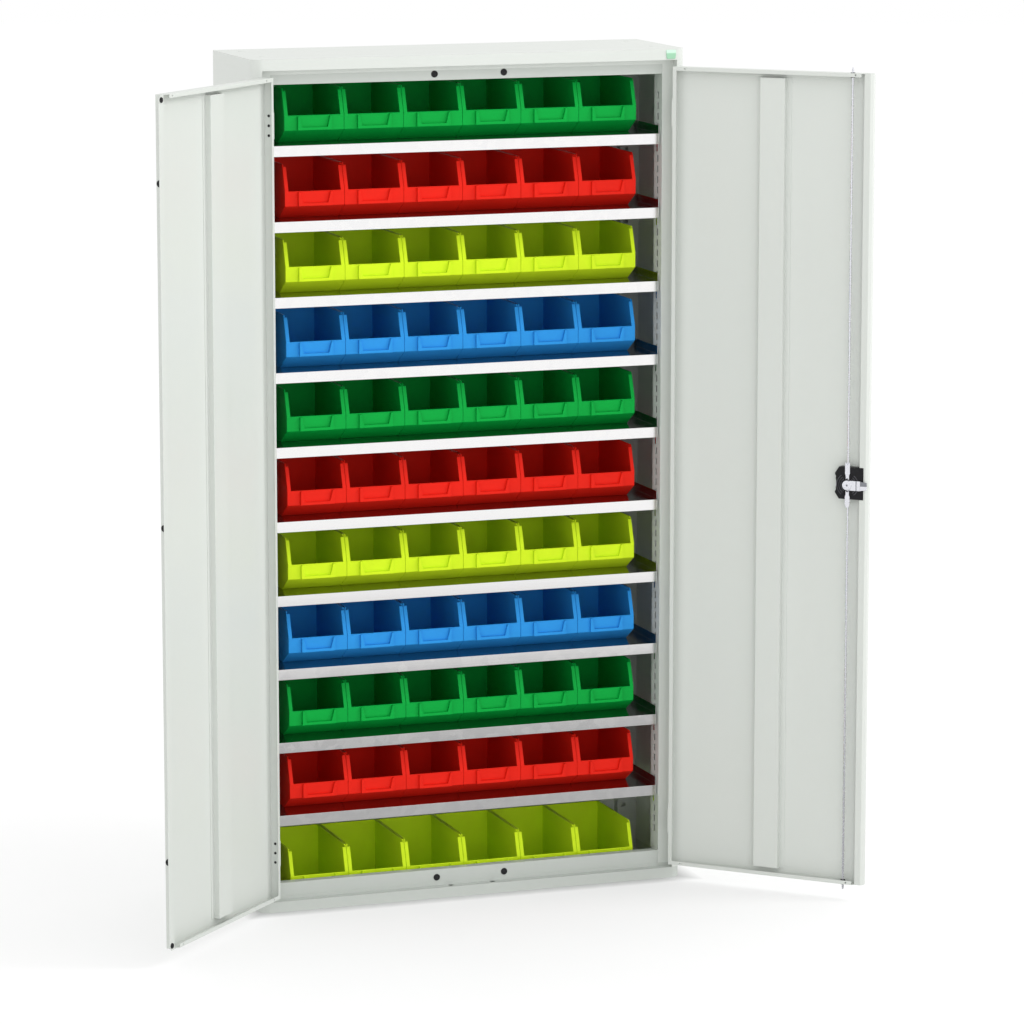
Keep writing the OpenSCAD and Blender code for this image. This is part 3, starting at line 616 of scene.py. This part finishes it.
# %% Tree helpers
def tree(name, inputs, build):
    """A Geometry Nodes tree: inputs are (name, kind), and build(maker, inputs) returns the geometry."""
    made = bpy.data.node_groups.new(name, "GeometryNodeTree")
    made.interface.new_socket("Geometry", in_out="INPUT", socket_type="NodeSocketGeometry")
    for label, kind in inputs:
        made.interface.new_socket(label, in_out="INPUT", socket_type="NodeSocket" + kind)
    made.interface.new_socket("Geometry", in_out="OUTPUT", socket_type="NodeSocketGeometry")
    maker = Maker(made)
    entry = made.nodes.new("NodeGroupInput")
    given = {s.name: Value(maker, s) for s in entry.outputs if s.name}
    whole = maker.node("GeometryNodeRealizeInstances", {}, {0: build(maker, given)})
    dressed = maker.node("GeometryNodeSetMaterial", {}, {"Geometry": whole, "Material": given["Finish"]})
    maker.node("NodeGroupOutput", {}, {0: dressed})
    return made


def grow(name, group, values, points=()):
    """Runs a tree on the points and returns its result as a plain mesh object."""
    mesh = bpy.data.meshes.new(name + "_points")
    mesh.from_pydata([tuple(p) for p in points], [], [])
    seed = in_scene(name + "_points", mesh)
    modifier = seed.modifiers.new("tree", "NODES")
    modifier.node_group = group
    for socket in group.interface.items_tree:
        if socket.in_out == "INPUT" and socket.name in values:
            modifier[socket.identifier] = values[socket.name]
    return plain(seed, name)


def row_tree(m, given):
    line = m.node("GeometryNodeMeshLine", {"mode": "OFFSET"},
                  {"Count": given["Count"], "Start Location": given["Start"], "Offset": given["Pitch"]})
    part = m.node("GeometryNodeObjectInfo", {}, {"Object": given["Pattern"]}, out="Geometry")
    return m.node("GeometryNodeInstanceOnPoints", {}, {"Points": line, "Instance": part})


row_inputs = [("Pattern", "Object"), ("Count", "Int"), ("Start", "Vector"), ("Pitch", "Vector"),
              ("Finish", "Material")]
row_of_bins = tree("row_of_bins", row_inputs, row_tree)
print("a tree for a row, with", len(row_inputs), "inputs")

# %% [markdown]
# ## Eleven rows of bins
# Six bins stand side by side on each shelf, half a millimetre apart, and the last six stand on the floor
# of the case. The rows slide on their shelves one by one, so each row is a piece of its own that rides
# with its own body.

# %% Rows of bins
BINS, PITCH, SHIFT = 6, 0.1445, -0.003
FRONT, SETBACK = -0.1625, 0.065             # the case's front, and how far the bins stand behind it
TOP_SHELF, SHELF_PITCH, CASE_FLOOR = 1.7993, 0.175, 0.0012
stands = [TOP_SHELF - SHELF_PITCH * k for k in range(10)] + [CASE_FLOOR]
for k, height in enumerate(stands, start=1):
    name = f"bins_row_{k:02d}"
    start = (SHIFT - (BINS - 1) / 2 * PITCH, FRONT + SETBACK, height)
    row = grow(name + "_set", row_of_bins,
               {"Pattern": bin_piece, "Count": BINS, "Start": start, "Pitch": (PITCH, 0, 0),
                "Finish": finishes[slot_of[name]]})
    stand_for(row, name)
bpy.data.objects.remove(bin_piece)
print("rows", k, "and the last has", len(row.data.polygons), "faces")

# %% [markdown]
# ## Turned parts
# Buffers, screws and plugs are turned shapes. A profile of radius and height is spun round its axis, and a
# tree then stands a copy on every point of a list, with its axis along a direction that all of them share.

# %% Turned pattern and the tree that places it
def turned(name, profile, steps=32):
    """Spins (radius, height) pairs round Z. Both ends of the profile lie on the axis."""
    shape = bmesh.new()
    rings = []
    for radius, height in profile:
        angles = [2 * math.pi * i / steps for i in range(steps if radius else 1)]
        ring = [(radius * math.cos(a), radius * math.sin(a), height) for a in angles]
        rings.append([shape.verts.new(p) for p in ring])
    for low, high in zip(rings, rings[1:]):
        for i in range(steps):
            j = (i + 1) % steps
            corner = [low[i % len(low)], low[j % len(low)], high[j % len(high)], high[i % len(high)]]
            shape.faces.new([v for n, v in enumerate(corner) if v not in corner[:n]])
    return mesh_object(name, shape)


def stand_tree(m, given):
    part = m.node("GeometryNodeObjectInfo", {}, {"Object": given["Pattern"]}, out="Geometry")
    turn = m.node("FunctionNodeAlignRotationToVector", {"axis": "Z"}, {"Vector": given["Direction"]})
    return m.node("GeometryNodeInstanceOnPoints", {},
                  {"Points": given["Geometry"], "Instance": part, "Rotation": turn})


stand_inputs = [("Pattern", "Object"), ("Direction", "Vector"), ("Finish", "Material")]
stand_on_points = tree("stand_on_points", stand_inputs, stand_tree)
print("a tree for turned parts, with", len(stand_inputs), "inputs")

# %% [markdown]
# ## Where the doors stand
# The doors were drawn closed and swung open by 135 degrees about their pins. The same turn carries every
# point that is given on a closed door to its place on the open one, so the parts on a door can be given
# where they are easy to measure.

# %% Door places
PIN_X, PIN_Y, OPEN = 0.504, -0.1645, math.radians(135)
DOOR_LOW, DOOR_HIGH = 0.039, 1.960
LOCK_X, LOCK_HEIGHT = 0.0523, 0.998


def swing(side):
    pin = Vector((side * PIN_X, PIN_Y, 0))
    return Matrix.Translation(pin) @ Matrix.Rotation(side * OPEN, 4, "Z") @ Matrix.Translation(-pin)


left_swing, right_swing = swing(-1), swing(1)
at_lock = right_swing @ Matrix.Translation((LOCK_X, FRONT, LOCK_HEIGHT))
print("the left door points to", [round(v, 3) for v in left_swing.to_3x3() @ Vector((1, 0, 0))])

# %% [markdown]
# ## Sets of turned parts
# `standing` turns a profile and stands a copy on every point of a set. A set that needs two profiles or
# directions is grown twice and joined, so that each node still has one piece.

# %% Sets of turned parts
def joined(name, pieces, finish):
    """One object of several, all in one finish."""
    shape = bmesh.new()
    for piece in pieces:
        shape.from_mesh(piece.data)
        bpy.data.objects.remove(piece)
    for face in shape.faces:
        face.material_index = 0
    made = mesh_object(name, shape)
    made.data.materials.append(finish)
    made.data.shade_smooth()
    return made


def standing(name, profile, finish, points, direction, carry=Matrix()):
    """Copies of a turned profile on points, all with their axis along one direction."""
    pattern = turned(name + "_pattern", profile)
    pattern.data.shade_smooth()
    values = {"Pattern": pattern, "Direction": carry.to_3x3() @ Vector(direction), "Finish": finish}
    made = grow(name, stand_on_points, values, [carry @ Vector(p) for p in points])
    bpy.data.objects.remove(pattern)
    return made


print("sets can be grown and joined")

# %% [markdown]
# ## Buffers
# Black rubber buttons soften the doors' closing: two on each rail, three on the left door's edge and two
# on its closing strip. Each is a turned profile with a hollow face.

# %% Buffers on the rails and the left door
def button(radius, height):
    """A round button with a rounded shoulder and a hollow in its face, with a pip in the middle."""
    shoulder = [(radius, height * 0.62), (radius - 0.0003, height * 0.86), (radius - 0.0009, height)]
    hollow = [(radius * 0.72, height), (radius * 0.64, height * 0.62), (radius * 0.38, height * 0.60)]
    return [(0, 0), (radius, 0), *shoulder, *hollow, (radius * 0.30, height * 0.84), (0, height * 0.84)]


BUFFER_R, STRIP_BUFFER_R = 0.008, 0.0062
RAIL_XS, RAIL_ZS, RAIL_Y = (-0.085, 0.085), (0.0445, 1.9545), FRONT + 0.026
EDGE_X, EDGE_Y, EDGE_ZS = -0.003, FRONT + 0.00925, (DOOR_LOW + 0.200, 0.9995, DOOR_HIGH - 0.195)
STRIP_X, STRIP_Y, STRIP_ZS = 0.007, FRONT + 0.0197, (DOOR_LOW + 0.011, DOOR_HIGH - 0.011)

rail_set = standing("rail_buffers_set", button(BUFFER_R, 0.0017), rubber,
                    [(x, RAIL_Y, z) for x in RAIL_XS for z in RAIL_ZS], (0, -1, 0))
stand_for(rail_set, "rail_buffers")
edge_set = standing("edge", button(BUFFER_R, 0.0024), rubber,
                    [(EDGE_X, EDGE_Y, z) for z in EDGE_ZS], (1, 0, 0), left_swing)
strip_set = standing("strip", button(STRIP_BUFFER_R, 0.0025), rubber,
                     [(STRIP_X, STRIP_Y, z) for z in STRIP_ZS], (0, 1, 0), left_swing)
stand_for(joined("left_door_buffers_set", [edge_set, strip_set], rubber), "left_door_buffers")
print("buffers:", len(RAIL_XS) * len(RAIL_ZS), "on the rails,", len(EDGE_ZS) + len(STRIP_ZS), "on the door")

# %% [markdown]
# ## Screws and plugs
# Three black screws hold each hinge, two zinc ones the plate of the handle, and four plugs close the
# lid's lifting holes. A screw's head is domed and has a round recess in its middle.

# %% Screws and plugs
def screw(shank, length, head, height):
    """A screw's profile: shank radius and length, then head radius and height."""
    recess = [(head * 0.45, height), (head * 0.38, height * 0.45), (0, height * 0.4)]
    crown = [(head, height * 0.5), (head * 0.9, height * 0.8), (head * 0.7, height)]
    return [(0, -length), (shank, -length), (shank, 0), (head, 0), *crown, *recess]


HINGE_FROM_END, SCREW_PITCH = 0.109, 0.0225
SCREW_X, SCREW_Y = 0.4998, FRONT + 0.012
hinge_zs = (DOOR_LOW + HINGE_FROM_END, DOOR_HIGH - HINGE_FROM_END)
screw_zs = [z + i * SCREW_PITCH for z in hinge_zs for i in (-1, 0, 1)]
for side, name, carry in ((-1, "left_hinge_screws", left_swing), (1, "right_hinge_screws", right_swing)):
    points = [(side * SCREW_X, SCREW_Y, z) for z in screw_zs]
    hinge_set = standing(name + "_set", screw(0.0019, 0.0032, 0.0032, 0.0014), black_steel, points,
                         (-side, 0, 0), carry)
    stand_for(hinge_set, name)

PLATE_FACE, PLATE_SCREW_Z = -0.007, 0.046   # from the lock's axis on the door's front
plate_set = standing("handle_plate_screws_set", screw(0.0019, 0.0068, 0.004, 0.002), zinc,
                     [(0, PLATE_FACE, z) for z in (-PLATE_SCREW_Z, PLATE_SCREW_Z)], (0, -1, 0), at_lock)
stand_for(plate_set, "handle_plate_screws")

LID_TOP, PLUG_X, PLUG_YS = 2.0, 0.480, (FRONT + 0.095, 0.1025)
plug = [(0, -0.005), (0.0049, -0.005), (0.0049, 0), (0.0065, 0), (0.0064, 0.0003), (0.0058, 0.0006),
        (0, 0.0006)]
plug_set = standing("lid_plugs_set", plug, paint,
                    [(x, y, LID_TOP) for x in (-PLUG_X, PLUG_X) for y in PLUG_YS], (0, 0, 1))
stand_for(plug_set, "lid_plugs")
print("hinge screws:", 2 * len(screw_zs), "and lid plugs:", 2 * len(PLUG_YS))

# %% [markdown]
# ## Building round the lock's axis
# Every outline of the lock is given as (x, z) from its axis, and its depth is counted from the closed
# door's front. So the lock is drawn at the world's origin and carried to the open door at the end.

# %% Lock helpers
INWARDS = Matrix.Rotation(math.radians(-90), 4, "X")


def lock_piece(name, shape, finish):
    """Turns a mesh built round the lock's axis into an object on the open right door."""
    piece = mesh_object(name, shape)
    piece.data.transform(at_lock)
    piece.data.materials.append(finish)
    return piece


def add_turned(shape, profile, matrix):
    """Adds a turned profile to a mesh that is being built."""
    pattern = turned("pattern", profile)
    pattern.data.transform(matrix)
    shape.from_mesh(pattern.data)
    bpy.data.objects.remove(pattern)


print("the lock's axis is", [round(v, 3) for v in at_lock.translation])

# %% [markdown]
# ## The lock's cover
# Inside the right door sits a black moulded cover with a wavy edge towards the hinges. Its CAD node has a
# straight edge there, so a prism with the wavy outline is cut off a copy of it.

# %% Cover with a wavy edge
WAVE = [(0.0335, 0.0255), (0.0316, 0.0235), (0.0296, 0.0195), (0.0302, 0.0145), (0.0290, 0.0095),
        (0.0290, -0.0030), (0.0302, -0.0075), (0.0296, -0.0120), (0.0316, -0.0155), (0.0335, -0.0165)]
BEYOND, CUT_DEPTH, COVER_EDGE = 0.0400, (-0.0005, 0.0210), 0.0004

cutter_shape = bmesh.new()
prism(cutter_shape, WAVE + [(BEYOND, WAVE[-1][1]), (BEYOND, WAVE[0][1])], *CUT_DEPTH, 0, "y")
cutter = mesh_object("wavy_cutter", cutter_shape)
cutter.data.transform(at_lock)
cover_faces = len(eased("lock_cover", COVER_EDGE, cutter).data.polygons)
bpy.data.objects.remove(cutter)
print("the cover has", cover_faces, "faces")

# %% [markdown]
# ## The tongue
# A round hub with a hole in its middle turns the tongue, a plate with a fold across it and a tip. The
# upper half of the tip leans back and is in shade, so it is a separate piece in a dark zinc that is
# painted shade, with a dark strip along the fold and a dark disc in the hub's hole, and rides with the
# same body.

# %% Tongue
HUB_R, HUB_BACK, HUB_FRONT, HOLE_R = 0.0116, 0.0220, 0.0247, 0.0020
FOLD, BEND, TIP, TIP_HALF = -0.0225, -0.0330, -0.0490, 0.0086
PLATE_DEPTH, FOLD_DEPTH = (0.0220, 0.0241), (0.0212, 0.0242)
TIP_DEPTH, BACK_DEPTH = (0.0212, 0.0238), (0.0212, 0.0236)
LEAN_BACK, LEANS_ABOVE = 0.0016, 0.0224


def band(left, right, half=HUB_R):
    """The outline of a plate across the tongue."""
    return [(left, half), (right, half), (right, -half), (left, -half)]


tongue_shape, painted_shade_shape = bmesh.new(), bmesh.new()
hub = [(0, HUB_BACK), (HUB_R, HUB_BACK), (HUB_R, 0.0242), (HUB_R - 0.0005, HUB_FRONT), (0.0026, HUB_FRONT),
       (HOLE_R, 0.0241), (HOLE_R, 0.0225), (0, 0.0225)]
add_turned(tongue_shape, hub, INWARDS)
prism(tongue_shape, band(FOLD, -0.0060), *PLATE_DEPTH, 0.0004, "y")
# A dark strip along the fold and a dark disc in the hub's hole: painted shade.
prism(painted_shade_shape, band(FOLD - 0.0016, FOLD + 0.0004), *FOLD_DEPTH, 0.0002, "y")
add_turned(painted_shade_shape, [(0, 0.0230), (0.0021, 0.0230), (0.0021, 0.0246), (0, 0.0246)], INWARDS)
prism(tongue_shape, band(BEND, FOLD - 0.0014), *TIP_DEPTH, 0.0005, "y")
shoulder = HUB_R - 0.0006
prism(tongue_shape, [(TIP, 0), (BEND, 0), (BEND, -shoulder), (TIP, -TIP_HALF)], *TIP_DEPTH, 0.0005, "y")
leaning = bmesh.new()
prism(leaning, [(TIP, TIP_HALF), (BEND, shoulder), (BEND, 0), (TIP, 0)], *BACK_DEPTH, 0.0004, "y")
for v in leaning.verts:
    if v.co.y > LEANS_ABOVE:
        v.co.y -= LEAN_BACK * (BEND - v.co.x) / (BEND - TIP)
add(painted_shade_shape, leaning)

tongue = lock_piece("latch_tongue_pressed", tongue_shape, zinc)
smooth_but_flat(tongue)
stand_for(plain(tongue, "latch_tongue_pressed"), "latch_tongue")
painted_shade = lock_piece("latch_tongue_shaded", painted_shade_shape, painted_shade_zinc)
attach(painted_shade, body_of("latch_tongue"))
print("the tongue's shaded half has", len(painted_shade.data.polygons), "faces")

# %% [markdown]
# ## Bars and rods
# Two flat bars, narrow beside the hub, carry the round rods: the upper bar ends in a notch and the lower
# one in a point. Each bar has a round bite for the hub's shaft and a pin that the cam drives. Both are
# made by one loop, the lower one upside down.

# %% Bars and rods
BAR_DEPTH, BAR_END, BAR_HALF = (0.0183, 0.0207), 0.054, 0.0060
BITE_R, BITE_Z, WAIST = 0.0035, 0.0130, [(0.0041, 0.0133), (0.0042, 0.0225), (BAR_HALF, 0.0275)]
ROD_DEPTH, ROD_RADIUS, ROD_REACH, ROD_START = 0.017, 0.0025, 0.013, BAR_END - 0.009
PIN_R, PIN_Z, PIN_FOOT = 0.00195, 0.021, 0.0122

bite_angles = [math.radians(a) for a in (90, 60, 30, 5)]
bite = [(BITE_R * math.cos(a), BITE_Z + BITE_R * math.sin(a)) for a in bite_angles]
bar_ends = {"upper_rod": [(BAR_HALF, BAR_END), (0.0036, BAR_END - 0.0012), (0, BAR_END - 0.0075)],
            "lower_rod": [(BAR_HALF, BAR_END - 0.0085), (0.0030, BAR_END - 0.0010), (0, BAR_END)]}
reaches = {"upper_rod": DOOR_HIGH - LOCK_HEIGHT + ROD_REACH, "lower_rod": LOCK_HEIGHT - DOOR_LOW + ROD_REACH}
for name, up in (("upper_rod", 1), ("lower_rod", -1)):
    rod_shape = bmesh.new()
    right = bite + WAIST + bar_ends[name]
    left = [(-x, z) for x, z in right[::-1] if x > 0.0001]
    prism(rod_shape, [(x, up * z) for x, z in right + left], *BAR_DEPTH, 0.0003, "y")
    reach = reaches[name]
    rod = [(0, ROD_START), (ROD_RADIUS, ROD_START), (ROD_RADIUS, reach - 0.005), (ROD_RADIUS - 0.001, reach),
           (0, reach)]
    upright = Matrix.Rotation(0 if up > 0 else math.pi, 4, "X")
    add_turned(rod_shape, rod, Matrix.Translation((0, ROD_DEPTH, 0)) @ upright)
    pin_top = BAR_DEPTH[0] + 0.0005
    pin = [(0, PIN_FOOT), (PIN_R, PIN_FOOT), (PIN_R, pin_top), (0, pin_top)]
    add_turned(rod_shape, pin, Matrix.Translation((0, 0, up * PIN_Z)) @ INWARDS)
    finished = lock_piece(name + "_finished", rod_shape, zinc)
    smooth_but_flat(finished)
    stand_for(plain(finished, name + "_finished"), name)
print("rods that reach", {name: round(reach, 3) for name, reach in reaches.items()}, "m from the lock")

# %% [markdown]
# ## The ribs of the lock's cover
# Arcs run round the lock's axis on the moulded cover, and their crowns catch the light, with their paler
# black as an added painted highlight. They could be drawn one by one, but they only differ in radius. So
# the tree draws them: an arc for each radius and each side, swept with a small round profile.

# %% Ribs on the cover
RIBS, RIB_DEPTH = 3, 0.0182
RIB_SIZES = {"First": 0.0165, "Step": 0.0052, "Crown": 0.0013, "Left start": math.radians(-56),
             "Right start": math.radians(124), "Sweep": math.radians(112)}


def rib_tree(m, given):
    arcs = [m.node("GeometryNodeCurveArc", {"mode": "RADIUS"},
                   {"Resolution": 20, "Radius": given["First"] + n * given["Step"],
                    "Start Angle": given[side], "Sweep Angle": given["Sweep"]})
            for n in range(RIBS) for side in ("Left start", "Right start")]
    profile = m.node("GeometryNodeCurvePrimitiveCircle", {"mode": "RADIUS"},
                     {"Resolution": 8, "Radius": given["Crown"]})
    curves = m.node("GeometryNodeJoinGeometry", {}, {0: arcs})
    return m.node("GeometryNodeCurveToMesh", {},
                  {"Curve": curves, "Profile Curve": profile, "Fill Caps": True})


rib_inputs = [(label, "Float") for label in RIB_SIZES] + [("Finish", "Material")]
ribs = grow("lock_cover_ribs", tree("rib_arcs", rib_inputs, rib_tree), {**RIB_SIZES, "Finish": rib_highlight_black})
facing_in = Matrix.Translation((0, RIB_DEPTH, 0)) @ Matrix.Rotation(math.radians(90), 4, "X")
ribs.data.transform(at_lock @ facing_in)
ribs.data.shade_smooth()
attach(ribs, body_of("lock_cover"))
print("ribs with", len(ribs.data.polygons), "faces")

# %% [markdown]
# ## The corner cap
# A small mint-green cap is clipped into the lid's front corner. It is a little wider at its top than at
# its foot, and its edges are rounded. Both sides mirror each other, so only half of it is given.

# %% Corner cap
CAP_X, CAP_DEPTH, CAP_EDGE = 0.4920, (-0.1643, -0.1624), 0.0007
CAP_HALF = [(0.0120, 1.9975), (0.0120, 1.9850), (0.0108, 1.9785), (0.0094, 1.9765)]

cap_shape = bmesh.new()
cap_outline = [(CAP_X - x, z) for x, z in CAP_HALF] + [(CAP_X + x, z) for x, z in CAP_HALF[::-1]]
prism(cap_shape, cap_outline, *CAP_DEPTH, CAP_EDGE, "y")
cap = mesh_object("corner_cap_moulded", cap_shape)
cap.data.materials.append(plastics["mint_plastic"])
smooth_but_flat(cap)
cap = plain(cap, "corner_cap_moulded")
stand_for(cap, "corner_cap")
print("cap with", len(cap.data.polygons), "faces")

# %% [markdown]
# ## Light
# Plain studio light comes from a pale dome that reaches into every recess, so the frame behind the doors
# darkens by itself, on top of the painted shade in its darker paint. An even dome would give both doors the
# same tone, so this one is brighter near the horizon than overhead, and a little brighter on the right and
# in front. The camera and mirrors see it as plain white. A soft lamp on the right adds the faint shadows at
# the doors' feet, and a wide lamp in front lifts what looks straight at the camera.

# %% Dome and lamps
MEAN, SLOPE, BRIGHT_SIDE = 1.30, 0.30, (0.32, -0.24, -1.1)
LAMPS = {"soft_lamp": (2.5, 110, (5.0, -2.5, 5.0)),      # diameter, watts and place
         "front_lamp": (4.0, 60, (-0.8, -9.0, 1.8))}

world = bpy.data.worlds.new("studio")
bpy.context.scene.world = world
world.use_nodes = True
world.node_tree.nodes.clear()
sky = Maker(world.node_tree)
seen = sky.node("ShaderNodeLightPath", out="Is Camera Ray")
mirrored = sky.node("ShaderNodeLightPath", out="Is Glossy Ray")
white = seen + mirrored
towards = sky.node("ShaderNodeTexCoord", out="Generated")
lean = sky.node("ShaderNodeVectorMath", {"operation": "DOT_PRODUCT"}, {0: towards, 1: BRIGHT_SIDE},
                out="Value")
dome = MEAN + SLOPE * lean
backdrop = sky.node("ShaderNodeBackground", {},
                    {"Color": (1, 1, 1, 1), "Strength": white + (1 - white) * dome})
sky.node("ShaderNodeOutputWorld", {}, {"Surface": backdrop})

for name, (size, watts, where) in LAMPS.items():
    lamp_data = bpy.data.lights.new(name, "AREA")
    lamp_data.shape, lamp_data.size, lamp_data.energy = "DISK", size, watts
    lamp = in_scene(name, lamp_data)
    lamp.location = where
    lamp.rotation_euler = (MIDDLE - lamp.location).to_track_quat("-Z", "Y").to_euler()
    lamp.visible_glossy = False
most = SLOPE * Vector(BRIGHT_SIDE).length
print("dome from", round(MEAN - most, 2), "to", round(MEAN + most, 2), "and", len(LAMPS), "lamps")

# %% [markdown]
# ## The floor
# One wide white sheet. To the camera it is mostly plain white, with a part of its own soft shading, so it
# melts into the background and keeps the shadows at the feet. Hardly any light gets in where the plinth
# meets the floor, so a narrow dark line is drawn there that fades out over a few centimetres. To mirrors
# the floor is white far away and greyer close to the cupboard, where a studio floor lies in the shade of
# what stands on it: the edges of the lowest shelves mirror that part.

# %% Floor
SHADE_AT, SHADE_FROM, SHADE_TO, SHADE_TONE = (0.6, -0.9, 0), 0.8, 3.6, 0.42
FOOT_HALVES, FOOT_FADE, FOOT_TONE = (0.530, 0.1625), 0.045, 0.15      # the plinth's half width and depth
GLOW, GLOW_SHARE = 1.10, 0.42

floor_shape = bmesh.new()
bmesh.ops.create_circle(floor_shape, cap_ends=True, radius=30, segments=64)
floor = mesh_object("floor", floor_shape)
floor_material = bpy.data.materials.new("white_floor")
floor_material.use_nodes = True
floor_material.node_tree.nodes.clear()
f = Maker(floor_material.node_tree)
seen = f.node("ShaderNodeLightPath", out="Is Camera Ray")
mirrored = f.node("ShaderNodeLightPath", out="Is Glossy Ray")
spot = f.node("ShaderNodeVectorMath", {"operation": "DISTANCE"}, {0: place(f), 1: SHADE_AT}, out="Value")
shade = rise(f, spot, SHADE_FROM, SHADE_TO, SHADE_TONE)
beside, before = [abs(part_of(f, place(f), axis)) - half for axis, half in zip("XY", FOOT_HALVES)]
foot = rise(f, larger(beside, before), 0.0, FOOT_FADE, FOOT_TONE, kind="LINEAR")
glow = f.node("ShaderNodeEmission", {},
              {"Color": (1, 1, 1, 1), "Strength": GLOW * seen * foot + mirrored * shade})
matt = f.node("ShaderNodeBsdfDiffuse", {},
              {"Color": between(f, noise(f, place(f), 3), (0.86, 0.86, 0.86), (0.89, 0.89, 0.89))})
surface = f.node("ShaderNodeMixShader", {}, {0: GLOW_SHARE * seen + mirrored, 1: matt, 2: glow})
f.node("ShaderNodeOutputMaterial", {}, {"Surface": surface})
floor.data.materials.append(floor_material)
floor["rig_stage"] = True
print("a floor of", len(floor.data.vertices), "corners")

# %% [markdown]
# ## Sizes
# The dressed cupboard must stay the size of the CAD model, so both boxes are measured and their largest
# difference is printed.

# %% Finish
seen_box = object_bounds()
differences = [abs(a - b) for c, d in zip(cad_box, seen_box) for a, b in zip(c, d)]
print("largest difference", round(max(differences) * 1000, 2), "mm")
